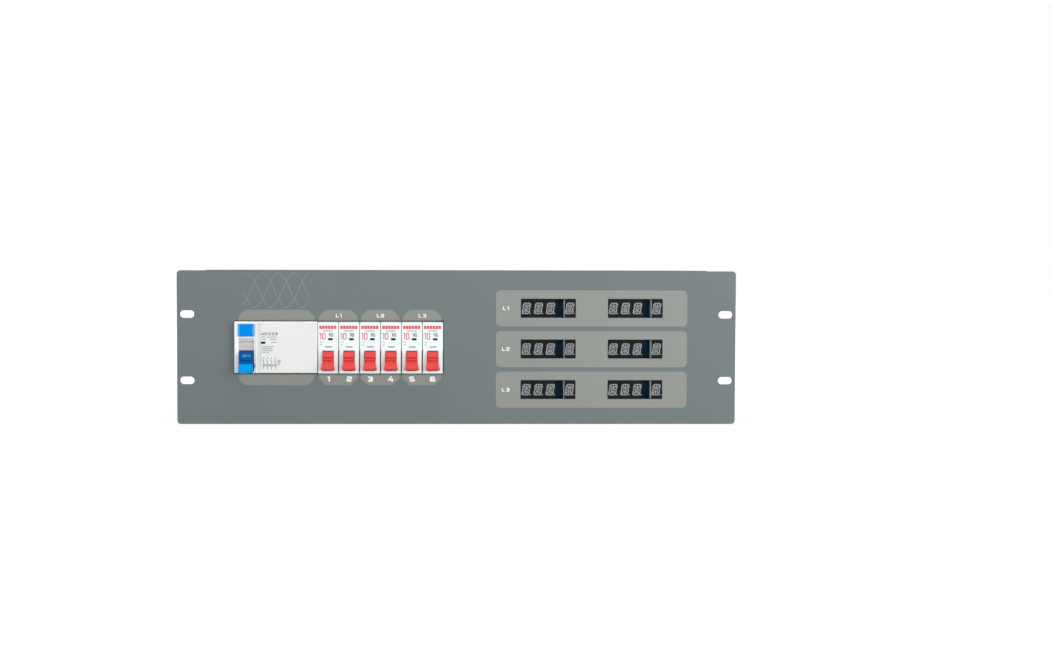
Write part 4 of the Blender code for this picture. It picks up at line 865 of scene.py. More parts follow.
def rear_of_housing(bm, node, split):
    """Add what lies behind a depth of a CAD housing to a bmesh."""
    source = bmesh.new()
    source.from_mesh(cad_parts[node].data)
    bmesh.ops.remove_doubles(source, verts=source.verts, dist=1e-6)
    whole = source.verts[:] + source.edges[:] + source.faces[:]
    cut = bmesh.ops.bisect_plane(
        source, geom=whole, plane_co=(0, split, 0), plane_no=(0, -1, 0), clear_outer=True
    )
    rim = [item for item in cut["geom_cut"] if isinstance(item, bmesh.types.BMEdge)]
    bmesh.ops.holes_fill(source, edges=rim)
    pour(bm, source)


def nose_outline(left, right, waist):
    """Return the front outline of a breaker's nose, drawn in at its sides beside the toggle."""
    corner = 0.9 * MM
    top = NOSE_TOP - 0.2 * MM
    outline = rectangle(left, NOSE_BOTTOM, right, top, corner, 4)
    steps = len(outline) // 4
    waist_top = top - 24.5 * MM
    waist_bottom = NOSE_BOTTOM + 1.6 * MM
    left_side = [
        (left, waist_top + waist), (left + waist, waist_top),
        (left + waist, waist_bottom), (left, waist_bottom - waist),
    ]
    right_side = [(right + left - x, z) for x, z in reversed(left_side)]
    return outline[: 2 * steps] + left_side + outline[2 * steps:] + right_side


def toggle_drum(bm, x, pivot, radius, width, creases):
    """Add a toggle's drum: a round body with creases across its front. Angles are above the front."""
    step = math.radians(5)
    half_turn = 36
    depths = {}
    for middle, half_width, crease_depth in creases:
        for share, deep in ((-1, 0), (-0.6, 0.8), (0, 1), (0.6, 0.8), (1, 0)):
            depths[middle + share * half_width / radius] = radius - deep * crease_depth
    for index in range(-half_turn, half_turn):
        angle = index * step
        if all(abs(angle - middle) > half_width / radius + step / 4 for middle, half_width, _ in creases):
            depths[angle] = radius
    outline = [(-depth * math.cos(angle), depth * math.sin(angle)) for angle, depth in sorted(depths.items())]
    add_across(bm, outline, x, pivot, width / 2, None, 0.2 * MM)


def toggle_paddle(bm, x, pivot, radius, width, tip_width, reach, tip_drop):
    """Add a toggle's paddle, which widens evenly from the drum to its straight tip."""
    root = radius - 0.9 * MM
    top = math.radians(2)
    bottom = math.radians(52)
    nose_height = 1.9 * MM
    dish = 0.25 * MM
    steps = 8
    start = Vector((-root * math.cos(top), -root * math.sin(top)))
    end = Vector((-reach + 0.1 * MM, nose_height - tip_drop))
    outline = []
    for step in range(steps):
        share = step / steps
        point = start.lerp(end, share)
        hollow = dish * math.sin(math.pi * share)
        outline.append((point.x + hollow, point.y - hollow * 0.3))
    outline += [
        (-reach + 0.02 * MM, nose_height - tip_drop + 0.05 * MM),
        (-reach, nose_height - 0.3 * MM - tip_drop),
        (-reach + 0.5 * MM, 0.3 * MM - tip_drop),
        (-reach + 0.9 * MM, -tip_drop),
        (-root * math.cos(bottom), -root * math.sin(bottom)),
        (-root * 0.55, -root * 0.38),
    ]
    ratio = tip_width / width
    flare_start = 0.05 * MM
    flare_length = 1.5 * MM

    def widening(y, z):
        """Return how much wider the paddle is at a point than the drum."""
        lower = min(1, max(0, -z / tip_drop))
        forward = min(1, max(0, (math.hypot(y, z) - root - flare_start) / flare_length))
        return 1 + (ratio - 1) * lower * forward

    add_across(bm, outline, x, pivot, width / 2, widening, 0.14 * MM)


def small_window(name, outline, front, material, slot):
    """Small dark window that stands just proud of a face."""
    bm = bmesh.new()
    add_slab(bm, [outline], front - 2 * INK, front + 0.3 * MM, 0.05 * MM, 2)
    piece(name, bm, material, slot=slot)


def breakers():
    """Six breakers: each a white housing with printed marks, and a red toggle."""
    radius = 8.7 * MM
    for number in range(1, 7):
        low, _, middle = node_bounds(f"breaker_housing_{number}")
        pivot = (low.y + 3.9 * MM, PANEL_MIDDLE - 11.3 * MM)
        breaker_case(number, pivot[1], radius + 0.05 * MM)
        breaker_marks(number, low.x, low.y)
        breaker_lever(number, middle.x, pivot, radius)


def breaker_case(number, pivot_z, opening_half):
    """White housing of a breaker, with the opening that its drum turns in."""
    node = f"breaker_housing_{number}"
    low, high, middle = node_bounds(node)
    half = BREAKER_DRUM_WIDTH / 2 + TOGGLE_CLEARANCE
    opening = (middle.x - half, pivot_z - opening_half, middle.x + half, pivot_z + opening_half)
    outlines = [nose_outline(low.x, high.x, 0.28 * MM), rectangle(*opening, 0.3 * MM, 3)]
    bm = bmesh.new()
    back = low.y + NOSE_DEPTH
    add_slab(bm, outlines, low.y, back, [NOSE_EDGE, HOLE_EDGE / 2], 4)
    rear_of_housing(bm, node, back - REAR_OVERLAP)
    housing = piece(f"breaker_case_{number}", bm, "white_plastic", slot="breaker")
    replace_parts(housing, node)


def breaker_lever(number, x, pivot, radius):
    """Red toggle of a breaker: a creased drum with its paddle."""
    bm = bmesh.new()
    creases = [
        (math.radians(18), 0.85 * MM, 1.7 * MM),
        (math.radians(1.5), 0.6 * MM, 1.3 * MM),
    ]
    toggle_drum(bm, x, pivot, radius, BREAKER_DRUM_WIDTH, creases)
    toggle_paddle(bm, x, pivot, radius, BREAKER_DRUM_WIDTH, 12.7 * MM, 11.4 * MM, 7.7 * MM)
    body = f"breaker_toggle_body_{number}"
    toggle = piece(f"breaker_lever_{number}", bm, "red_plastic", body=body, slot="red")
    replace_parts(toggle, f"breaker_toggle_{number}")


def breaker_marks(number, left, front):
    """Plain marks on a breaker's face: a row of red bars, plain numbers, a dark window and grey lines."""

    def bar(start, end, upper, height):
        """Return the outlines of a bar, in millimetres from the nose's top left corner."""
        low = NOSE_TOP - (upper + height) * MM
        return [rectangle(left + start * MM, low, left + end * MM, low + height * MM, 0.25 * MM, 3)]

    red = [bar(1.3 + 2.5 * step, 3.5 + 2.5 * step, 3.3, 2.9) for step in range(6)]
    red += sign("10", left + 3.9 * MM, NOSE_TOP - 12.4 * MM, 5.6 * MM, 0.62, 0.13)
    grey = sign("16", left + 11.2 * MM, NOSE_TOP - 11.2 * MM, 2.9 * MM, 0.85, 0.19)
    grey.append(bar(6.2, 12.0, 21.2, 0.8))
    pale = [bar(4.6, 12.6, 7.5, 0.7), bar(1.9, 3.9, 17.3, 0.6), bar(1.9, 3.5, 19.5, 0.6)]
    for name, shapes, ink in (("band", red, "red"), ("print", grey, "grey"), ("lines", pale, "pale_grey")):
        painted(f"breaker_{name}_{number}", shapes, front - INK, front, f"{ink}_ink", "breaker")
    sides = (left + 8.8 * MM, NOSE_TOP - 15.9 * MM, left + 12.9 * MM, NOSE_TOP - 14.0 * MM)
    small_window(f"breaker_window_{number}", rectangle(*sides, 0.5 * MM, 4), front, "dark_window", "breaker")


# RCCB

def rccb():
    """Residual current breaker: stepped housing, test button, and toggle whose drum is painted a darker blue
    as shade.
    """
    low, high, _ = node_bounds("rccb_housing")
    button_low, button_high, button = node_bounds("rccb_test_button")
    front = low.y + RIDGE_PROUD
    middle_x = button.x + 0.05 * MM
    pivot = (front + 3.6 * MM, PANEL_MIDDLE - 12.1 * MM)
    radius = 9.2 * MM
    sides = (button_low.x - BUTTON_EXTRA, button_high.x + BUTTON_EXTRA)
    top = NOSE_TOP + 0.15 * MM
    bottom = NOSE_BOTTOM + 0.45 * MM
    left = low.x + 0.45 * MM
    recess_top = NOSE_TOP - 14.0 * MM
    gap = 0.15 * MM
    hole = (sides[0] - gap, button_low.z - gap, sides[1] + gap, button_high.z + gap)
    recess = (middle_x - RECESS_HALF, pivot[1] - radius * 0.96, middle_x + RECESS_HALF, recess_top)
    notch_left = middle_x + RECESS_HALF + 0.45 * MM
    notch = (notch_left, top - 40.2 * MM, notch_left + 0.65 * MM, top - 36.6 * MM)
    corner = 0.3 * MM
    outlines = [rectangle(left, bottom, high.x, top, 0.8 * MM, 6)]
    outlines += [rectangle(*hole, corner, 4), rectangle(*recess, corner, 3), rectangle(*notch, corner, 4)]
    bm = bmesh.new()
    add_slab(bm, outlines, front, front + NOSE_DEPTH, [0.4 * MM] + 3 * [HOLE_EDGE], 4)
    rccb_steps(bm, left, high.x, front, top, bottom)
    rear_of_housing(bm, "rccb_housing", front + NOSE_DEPTH - REAR_OVERLAP)
    housing = piece("rccb_case", bm, "off_white_plastic", slot="rccb")
    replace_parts(housing, "rccb_housing")
    label_field(low.x, high.x, front, top, bottom)
    recess_floor(middle_x, RECESS_HALF - 0.05 * MM, recess_top, front)
    test_button(sides, button_low, button_high)
    rccb_lever(middle_x, pivot, radius)
    rccb_marks(low.x, low.y)


def rccb_lever(x, pivot, radius):
    """Toggle of the RCCB: a drum painted a darker blue as shade, with a plain sign, and a light paddle."""
    width = 11.6 * MM
    bm = bmesh.new()
    creases = [(math.radians(8), 0.55 * MM, 1.0 * MM)]
    toggle_drum(bm, x, pivot, radius, width, creases)
    # The drum's darker blue is painted shade.
    piece("rccb_lever_drum", bm, "drum_blue_painted_shade", body="rccb_toggle_body", slot="blue")
    bm = bmesh.new()
    toggle_paddle(bm, x, pivot, radius, width, 12.9 * MM, 13.05 * MM, 9.3 * MM)
    lever = piece("rccb_lever", bm, "lever_blue_plastic", body="rccb_toggle_body", slot="blue")
    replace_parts(lever, "rccb_toggle")
    drum_sign(x + 0.7 * MM, pivot, radius, math.radians(34))


def drum_sign(x, pivot, radius, angle):
    """Plain OFF sign that follows the round front of the RCCB's drum."""
    bm = bmesh.new()
    for line in sign("OFF", x, 0, 2.5 * MM, 0.88, 0.22):
        add_line(bm, Line(finely(line.points, 0.25 * MM), line.width), -INK, 0)
    for vert in bm.verts:
        away = radius - vert.co.y
        turn = angle + vert.co.z / radius
        vert.co = (vert.co.x, pivot[0] - away * math.cos(turn), pivot[1] + away * math.sin(turn))
    piece("rccb_lever_sign", bm, "pale_blue_ink", body="rccb_toggle_body", slot="blue")


def rccb_steps(bm, left, right, front, top, bottom):
    """Add what stands proud of the RCCB's face: the left rim and the frame round the label field."""
    rim = (left + 0.3 * MM, bottom + 0.4 * MM, left + 1.6 * MM, top - 0.4 * MM)
    add_slab(bm, [rectangle(*rim, 0.3 * MM, 3)], front - RIM_PROUD, front + MM, 0.15 * MM, 2)
    outside = (left + 18.0 * MM, bottom + 0.3 * MM, right - 0.1 * MM, top - 0.3 * MM)
    inside = (left + 19.2 * MM, bottom + 1.1 * MM, right - 1.0 * MM, top - 1.3 * MM)
    outlines = [rectangle(*outside, 0.6 * MM, 4), rectangle(*inside, 0.5 * MM, 4)]
    add_slab(bm, outlines, front - RIDGE_PROUD, front + MM, [0.45 * MM, 0.15 * MM], 3)


def label_field(left, right, front, top, bottom):
    """Light grey label field of the RCCB, with a hollow strip along its left side whose darker grey is
    painted shade.
    """
    proud = front - RIDGE_PROUD
    strip_left = left + 19.6 * MM
    strip_right = left + 23.0 * MM
    low = bottom + 1.1 * MM
    high = top - 1.3 * MM
    depth = front + 0.6 * MM
    bm = bmesh.new()
    field = rectangle(strip_right, low, right - 1.0 * MM, high, 0.3 * MM, 3)
    add_slab(bm, [field], proud + 0.12 * MM, depth, 0.1 * MM, 2)
    piece("rccb_label_field", bm, "label_field_plastic", slot="rccb")
    bm = bmesh.new()
    section = [
        (strip_left, front - 0.5 * MM), (strip_left + 1.2 * MM, front - 0.42 * MM),
        (strip_right - 1.0 * MM, front - 0.2 * MM), (strip_right - 0.2 * MM, front - 0.1 * MM),
        (strip_right, proud + 0.3 * MM), (strip_right, depth), (strip_left, depth),
    ]
    rings = [[bm.verts.new((x, y, z)) for x, y in section] for z in (low, high)]
    join_rings(bm, rings)
    for ring in rings:
        bm.faces.new(ring)
    # The strip's darker grey is painted shade.
    piece("rccb_label_shade_strip", bm, "label_strip_painted_shade", slot="rccb")


def test_button(sides, low, high):
    """Blue test button with bevelled sides, which are painted a lighter blue as a highlight."""
    bm = bmesh.new()
    outline = rectangle(sides[0], low.z, sides[1], high.z)
    bevel_depth = 0.6
    profile = from_face(low.y, [(1.3, 0.0), (0.4, 0.16), (0.1, 0.34), (0.0, bevel_depth)])
    profile.append((0, high.y))
    add_slab(bm, [outline], low.y, high.y, [profile])
    bmesh.ops.recalc_face_normals(bm, faces=bm.faces)
    # Sideways bevel faces take the lighter blue, a painted highlight.
    for face in bm.faces:
        sideways = abs(face.normal.x) > 2 * abs(face.normal.z)
        if sideways and face.calc_center_median().y < low.y + bevel_depth * MM:
            face.material_index = 1
    colours = ("button_blue_plastic", "button_side_painted_highlight")
    test = piece("rccb_test_key", bm, *colours, body="test_button_body", slot="blue")
    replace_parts(test, "rccb_test_button")


def recess_floor(middle_x, half_width, top, front):
    """Light grey floor of the recess over the RCCB's toggle, in three bands with grooves between. Its grey is
    made darker as painted shade of the recess.
    """
    section = [
        (0.8, 0), (0.9, -2.6), (1.9, -2.8), (1.9, -3.9), (1.0, -4.1), (1.1, -7.2), (1.7, -7.35),
        (1.7, -7.8), (1.2, -7.95), (1.3, -10.4), (2.0, -11.0), (3.4, -11.0), (3.4, 0),
    ]
    bm = bmesh.new()
    add_across(bm, from_face(0, section), middle_x, (front, top), half_width)
    piece("rccb_recess_floor", bm, "recess_grey_and_painted_shade", slot="rccb")


def rccb_marks(left, front):
    """Plain marks on the RCCB's face: a dark window, plain numbers, grey lines and a circuit diagram."""
    face = front + 0.12 * MM
    window = (left + 23.2 * MM, NOSE_TOP - 19.0 * MM, left + 27.1 * MM, NOSE_TOP - 17.1 * MM)
    small_window("rccb_window", rectangle(*window, 0.3 * MM, 3), face, "display_face", "rccb")

    def stroke(*points, width=0.42 * MM):
        """Return a thin line through points in millimetres right of and below the top left corner."""
        return Line([(left + x * MM, NOSE_TOP - z * MM) for x, z in points], width)

    shapes = sign("40", left + 26.0 * MM, NOSE_TOP - 10.4 * MM, 2.4 * MM, 0.95, 0.2)
    shapes += sign("0.03", left + 33.6 * MM, NOSE_TOP - 10.4 * MM, 2.4 * MM, 0.95, 0.2)
    for wire in range(4):
        x = 25.6 + 3.4 * wire
        shapes.append(stroke((x, 30.3), (x, 32.0)))
        shapes.append(stroke((x - 1.1, 32.4), (x, 34.6), (x, 36.4)))
        shapes.append(stroke((x, 38.2), (x, 40.8)))
    transformer = [stroke((24.4, level), (37.0, level)) for level in (37.0, 37.9)]
    link = stroke((23.6, 33.3), (24.2, 33.3))
    coil = stroke((38.7, 33.1), (39.7, 33.1), (39.7, 34.9), (37.7, 34.9), (37.7, 33.1), (38.7, 33.1))
    lead = stroke((38.7, 35.1), (38.7, 37.0), (37.4, 37.0))
    shapes += [*transformer, link, coil, lead]
    painted("rccb_diagram", shapes, face - INK, face, "grey_ink", "rccb")
    lines = [(23.8, 27.6, 13.2), (29.0, 36.4, 13.2), (23.8, 27.2, 15.2), (31.0, 36.6, 15.2)]
    lines += [(32.0, 36.8, 17.6), (23.8, 34.8, 21.4), (23.8, 33.0, 23.0), (23.8, 33.6, 24.6)]
    lines += [(23.8, 30.6, 26.2)]
    pale = [stroke((start, level), (end, level), width=0.6 * MM) for start, end, level in lines]
    painted("rccb_lines", pale, face - INK, face, "pale_grey_ink", "rccb")


# Meters

def segment_outlines(x, z):
    """Return the segments of one unlit digit whose middle is at x and z, and its point."""
    line = SEGMENT_WIDTH
    half = (DIGIT_WIDTH - line) / 2
    rise = (DIGIT_HEIGHT - line) / 2

    def bar(start, end, width):
        """Return a bar with pointed ends."""
        start = Vector(start)
        end = Vector(end)
        way = (end - start).normalized()
        side = Vector((-way.y, way.x)) * width / 2
        first = start + way * (SEGMENT_GAP + width / 2)
        last = end - way * (SEGMENT_GAP + width / 2)
        tips = (start + way * SEGMENT_GAP, end - way * SEGMENT_GAP)
        points = [tips[0], first - side, last - side, tips[1], last + side, first + side]
        return [tuple(point) for point in points]

    shapes = [bar((-half, level), (half, level), line * 0.88) for level in (rise, -rise)]
    shapes += [bar((-half, 0), (0, 0), line * 0.8), bar((0, 0), (half, 0), line * 0.8)]
    for side in (-1, 1):
        shapes.append(bar((side * half, 0), (side * half, rise), line))
        shapes.append(bar((side * half, -rise), (side * half, 0), line))
    for level in (-1, 1):
        shapes.append(bar((0, level * line * 0.4), (0, level * (rise - line * 0.5)), line * 0.95))
        for side in (-1, 1):
            start = (side * line * 0.62, level * line * 0.72)
            end = (side * (half - line * 0.7), level * (rise - line * 0.7))
            shapes.append(bar(start, end, line * 0.88))
    shapes.append(circle(DIGIT_WIDTH / 2 + 0.75 * MM, -DIGIT_HEIGHT / 2 + 0.5 * MM, 0.55 * MM, 16))
    return [[(u + v * DIGIT_SLANT + x, v + z) for u, v in shape] for shape in shapes]


def digit_block(node, digits):
    """Block of unlit digits: a light body, a black face and grey segments."""
    low, high, middle = node_bounds(node)
    film = 0.4 * MM
    tall = WINDOW_HEIGHT / 2 - 0.1 * MM
    bare = 0.35 * MM if digits == 1 else 0
    bm = bmesh.new()
    add_block(bm, (low.x, low.y + film / 2, low.z), high, 0.15 * MM, 2)
    body = piece(f"{node}_body", bm, "display_side", slot="digits")
    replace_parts(body, node)
    bm = bmesh.new()
    z = middle.z + WINDOW_RISE
    add_slab(bm, [rectangle(low.x + bare, z - tall, high.x, z + tall, 0.1 * MM, 2)], low.y, low.y + film)
    piece(f"{node}_face", bm, "display_face", slot="digits")
    groups = []
    for digit in range(digits):
        x = middle.x + (digit - (digits - 1) / 2) * DIGIT_PITCH
        groups += [[shape] for shape in segment_outlines(x, middle.z)]
    painted(f"{node}_segments", groups, low.y - INK / 2, low.y, "unlit_segment", "digits")


def meters():
    """Digit blocks of the volt and ampere meters, and their boards."""
    for phase in PHASES:
        for meter in METERS:
            digit_block(f"{meter}_digits_{phase}", 3)
            digit_block(f"{meter}_unit_digit_{phase}", 1)
    for phase in PHASES:
        dress(f"meter_board_{phase}", "blue_board_lacquer")


# Inlet, outlets and earth stud at the rear

def keyed_bore(x, z, radius, steps):
    """Return the shroud's bore with its keyway at the bottom."""
    half = 3.5 * MM
    deep = 2 * MM
    gap = math.asin(half / radius)
    start = -math.pi / 2 + gap
    turn = math.tau - 2 * gap
    outline = []
    for step in range(steps + 1):
        angle = start + turn * step / steps
        outline.append((x + radius * math.cos(angle), z + radius * math.sin(angle)))
    return outline + [(x - half, z - radius - deep), (x + half, z - radius - deep)]


def inlet():
    """Five-pole inlet: flanged red housing with a keyed shroud, its insert and its metal pins."""
    low, high, middle = node_bounds("inlet_housing")
    x, z = middle.x, middle.z
    flange_back = node_bounds("rear_panel")[1].y + GASKET
    flange_face = flange_back + 6 * MM
    flange_corner = 8 * MM
    bore = 30.5 * MM
    outside = 33.3 * MM
    steps = 96
    bm = bmesh.new()
    flange = [rectangle(low.x, low.z, high.x, high.z, flange_corner), circle(x, z, bore, steps)]
    add_slab(bm, flange, flange_face, flange_back, [1.0 * MM, 0], 4)
    shroud = [circle(x, z, outside, steps), keyed_bore(x, z, bore, steps)]
    add_slab(bm, shroud, high.y, flange_face - 0.5 * MM, [0.8 * MM, 0.5 * MM], 4)
    collar = [(33, 0), (37, 0), (37, 0.8), (36.4, 1.4), (34.8, 2.2), (34.2, 4.4), (33, 4.6)]
    add_turned(bm, from_face(flange_face, collar), x, z, steps, True)
    lip = [(33, -6.0), (34, -5.6), (34, -1.6), (33.7, -1.0), (33, -0.9)]
    add_turned(bm, from_face(high.y, lip), x, z, steps, True)
    barrel = [(33 * MM, low.y), (33 * MM, flange_back), (bore, flange_back), (bore, low.y)]
    add_turned(bm, barrel, x, z, steps, True)
    key_half = 5 * MM
    key_low = (x - key_half, flange_face - 1 * MM, z - 36 * MM)
    key_high = (x + key_half, high.y - 6 * MM, z - 32.8 * MM)
    add_block(bm, key_low, key_high, 0.7 * MM, 3)
    housing = piece("inlet_case", bm, "signal_red_plastic", slot="inlet")
    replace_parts(housing, "inlet_housing")
    inlet_insert(x, z)


def inlet_insert(x, z):
    """Insert with a raised middle, five pins with collars, and a sign beside each pin."""
    low, high, _ = node_bounds("inlet_pins")
    face = high.y - 34 * MM
    back = face - 14 * MM
    bm = bmesh.new()
    profile = [(0, -14), (30.2, -14), (30.2, -0.8), (29.6, 0), (20.6, 0), (20.0, 1.6), (19.4, 2), (0, 2)]
    add_turned(bm, from_face(face, profile), x, z, 96)
    metal = bmesh.new()
    signs = []
    names = (None, "L1", "L2", "L3", "N")
    for number, name in enumerate(names):
        angle = -math.pi / 2 + math.tau * number / len(names)
        pin_x, sign_x = (x + away * MM * math.cos(angle) for away in (12.5, 25.2))
        pin_z, sign_z = (z + away * MM * math.sin(angle) for away in (12.5, 25.2))
        radius = 3 * MM if name else 4 * MM
        terminal = [(0, low.y), (4.5 * MM, low.y), (4.5 * MM, back), (0, back)]
        add_turned(metal, terminal, pin_x, pin_z, 24)
        pin = [(0, face), (radius, face), (radius, high.y - 1.6 * MM), (radius * 0.8, high.y - 0.5 * MM)]
        pin += [(radius * 0.5, high.y), (0, high.y)]
        add_turned(metal, pin, pin_x, pin_z, 32)
        rim = [(0.3, 1.8), (1.5, 1.8), (1.5, 2.8), (1.2, 3.2), (0.3, 3.2)]
        add_turned(bm, from_face(face, rim, radius), pin_x, pin_z, 32, True)
        drawn = sign(name, sign_x, sign_z, 3 * MM, 0.9, 0.2) if name else earth_sign(sign_x, sign_z, 3.6 * MM)
        signs += seen_from_behind(drawn, sign_x)
    insert = piece("inlet_insert", bm, "dark_insert_plastic", slot="insert")
    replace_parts(insert, "inlet_pins")
    piece("inlet_contacts", metal, "nickel_plate", slot="insert")
    painted("inlet_signs", signs, face + INK, face, "white_ink", "insert")


def outlets():
    """Six outlets, each with its number beside it."""
    rear = node_bounds("rear_panel")[1].y
    numbers = []
    for number in range(1, 7):
        _, high, middle = node_bounds(f"outlet_{number}")
        floor_y = high.y - 17.5 * MM
        outlet_case(number, floor_y, rear)
        outlet_metal(number, middle.x, middle.z, floor_y)
        drawn = sign(str(number), middle.x, high.z + 4 * MM, 4 * MM, 0.95, 0.2)
        numbers += seen_from_behind(drawn, middle.x)
    painted("outlet_numbers", numbers, rear + INK, rear, "white_ink", "case")


def outlet_case(number, floor_y, rear):
    """Outlet with a flange, a ringed well, a floor with two contact holes, and two guide ribs."""
    node = f"outlet_{number}"
    low, high, middle = node_bounds(node)
    x, z = middle.x, middle.z
    flange = high.y - OUTLET_LIP
    well = 19.5 * MM
    rib_half = 2.5 * MM
    bm = bmesh.new()
    outlines = [rectangle(low.x, low.z, high.x, high.z, 6 * MM), circle(x, z, well, 64)]
    add_slab(bm, outlines, flange, rear + GASKET, [0.8 * MM, 0], 3)
    ring = [(19.5, -0.5), (22.6, -0.5), (22.3, 0.3), (21.8, 0.6), (20.3, 0.6), (19.5, 0.1)]
    add_turned(bm, from_face(flange, ring), x, z, 64, True)
    under = floor_y - 5 * MM
    cup = [
        (0, low.y), (20.4 * MM, low.y), (21.2 * MM, low.y + 0.8 * MM), (21.2 * MM, flange - 0.6 * MM),
        (well, flange - 0.3 * MM), (19.1 * MM, floor_y), (19.1 * MM, under), (0, under),
    ]
    add_turned(bm, cup, x, z, 64)
    plate = [circle(x, z, 19.3 * MM, 64)]
    plate += [circle(x + side * CONTACT_OUT, z, 2.6 * MM, 32) for side in (-1, 1)]
    add_slab(bm, plate, floor_y, under - 0.2 * MM, [0, 0.35 * MM, 0.35 * MM], 3)
    for side in (-1, 1):
        inner, outer = sorted((x + side * 17.3 * MM, x + side * 19.9 * MM))
        rib_low = (inner, floor_y - 0.5 * MM, z - rib_half)
        add_block(bm, rib_low, (outer, flange - 1.5 * MM, z + rib_half), 0.5 * MM, 3)
    case = piece(f"outlet_case_{number}", bm, "dark_blue_plastic", slot="outlet")
    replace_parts(case, node)


def outlet_metal(number, x, z, floor_y):
    """Metal of an outlet: two bent earth clips, the contacts in their holes and the middle screw."""
    bm = bmesh.new()
    line = [(-1.0, 19.0), (5.0, 18.8), (8.0, 18.3), (10.5, 18.1), (13.0, 18.5), (15.2, 19.3)]
    thickness = 0.6 * MM
    for level in (-1, 1):
        points = [(depth * MM, level * away * MM) for depth, away in line]
        outline = side_steps(points, thickness / 2, False) + side_steps(points, -thickness / 2, False)[::-1]
        add_across(bm, outline, x, (floor_y, z), 3 * MM, None, 0.12 * MM)
    for side in (-1, 1):
        ring = [(1.7, -4), (2.5, -4), (2.5, -1.2), (2.2, -0.9), (1.9, -1.2), (1.7, -1.6)]
        add_turned(bm, from_face(floor_y, ring), x + side * CONTACT_OUT, z, 24, True)
    add_turned(bm, screw_profile(2.4 * MM, floor_y), x, z, 28)
    piece(f"outlet_metal_{number}", bm, "nickel_plate", slot="outlet")


def earth_stud():
    """Earth stud: threaded bolt with its head inside, washer, spring washer and nut, and the earth sign."""
    low, high, middle = node_bounds("earth_stud")
    x, z = middle.x, middle.z
    rear = node_bounds("rear_panel")[1].y
    head = low.y + 4 * MM
    washer = rear + GASKET
    spring = washer + 1.2 * MM
    nut = spring + 0.9 * MM
    bm = bmesh.new()
    hexagon = circle(x, z, 5.5 * MM, 6)
    add_slab(bm, [hexagon], head, low.y, 0.4 * MM, 3)
    add_slab(bm, [circle(x, z, 6.5 * MM, 48)], spring, washer, 0.2 * MM, 2)
    add_slab(bm, [circle(x, z, 5.0 * MM, 40)], nut, spring, 0.15 * MM, 2)
    add_slab(bm, [hexagon], nut + 4.2 * MM, nut, 0.45 * MM, 3)
    add_turned(bm, from_face(nut, [(0, 4.2), (4.4, 4.2), (4.2, 4.5), (0, 4.5)]), x, z, 40)
    profile = [(0, head - 0.5 * MM), (2.9 * MM, head - 0.5 * MM)]
    pitch = 1.0 * MM
    for turn in range(int((high.y - 1.2 * MM - head) / pitch)):
        start = head + turn * pitch
        profile += [(2.95 * MM, start + 0.35 * MM), (2.5 * MM, start + 0.85 * MM)]
    profile += [(2.4 * MM, high.y - 0.3 * MM), (2.1 * MM, high.y), (0, high.y)]
    add_turned(bm, profile, x, z, 40)
    stud = piece("earth_bolt", bm, "brass", slot="brass")
    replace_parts(stud, "earth_stud")
    painted("earth_mark", earth_sign(x, z + 13 * MM, 6 * MM), rear + INK, rear, "white_ink", "case")


# Case, screws and inside parts

def soften(node, width):
    """Round a CAD node's edges with modifiers."""
    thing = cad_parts[node]
    weld = thing.modifiers.new("weld", "WELD")
    weld.merge_threshold = 0.01 * MM
    bevel = thing.modifiers.new("round edges", "BEVEL")
    bevel.width = width
    bevel.segments = 2
    bevel.limit_method = "ANGLE"
    bevel.angle_limit = math.radians(50)
    keep_flat(thing)


def screw_profile(radius, face):
    """Return the profile of a low round screw head that stands on a face."""
    rise = radius * SCREW_RISE
    return [
        (0, face + rise * 0.55), (radius * 0.3, face + rise * 0.55), (radius * 0.34, face + rise * 0.98),
        (radius * 0.62, face + rise * 0.92), (radius * 0.88, face + rise * 0.62), (radius, face + rise * 0.2),
        (radius, face), (0, face - rise * 0.3),
    ]


def add_cross(bm, x, z, reach, arm, front, back):
    """Add the dark cross of a screw's recess."""
    for wide, tall in ((reach, arm), (arm, reach)):
        add_slab(bm, [rectangle(x - wide, z - tall, x + wide, z + tall)], front, back)


def rear_screws():
    """Screws at the rear panel's edge and at the inlet's and the outlets' corners."""
    low, high, _ = node_bounds("rear_panel")
    bm = bmesh.new()
    crosses = bmesh.new()

    def screw(x, z, face, radius):
        """Add one screw whose head stands on a face."""
        rise = radius * SCREW_RISE
        add_turned(bm, screw_profile(radius, face), x, z, 28)
        add_cross(crosses, x, z, radius * 0.3, radius * 0.16, face + rise * 0.5, face + rise * 0.57)

    for side in (-1, 1):
        for share in (0.12, 0.5, 0.88):
            screw(side * (high.x - 5 * MM), low.z + (high.z - low.z) * share, high.y, 2.6 * MM)
    for share in (0.22, 0.5, 0.78):
        screw(low.x + (high.x - low.x) * share, high.z - 4.5 * MM, high.y, 2.6 * MM)
    inlet_low, inlet_high, middle = node_bounds("inlet_housing")
    reach = (inlet_high.x - inlet_low.x) / 2 - 7.5 * MM
    for x, z in four_places(middle.x, middle.z, reach, reach):
        screw(x, z, high.y + 6.3 * MM, 3.2 * MM)
    for number in range(1, 7):
        outlet_low, outlet_high, middle = node_bounds(f"outlet_{number}")
        reach = (outlet_high.x - outlet_low.x) / 2 - 4.6 * MM
        for x, z in four_places(middle.x, middle.z, reach, reach):
            screw(x, z, outlet_high.y - OUTLET_LIP, 1.9 * MM)
    piece("rear_screws", bm, "screw_steel", slot="zinc")
    piece("rear_screw_recesses", crosses, "black_plastic", slot="zinc")


def cover_screws():
    """Return where the cover's screws are, as x and y."""
    low, high, _ = node_bounds("top_cover")
    places = []
    for side in (-1, 1):
        for share in (0.1, 0.5, 0.9):
            places.append((side * (high.x - 7 * MM), low.y + (high.y - low.y) * share))
    return places


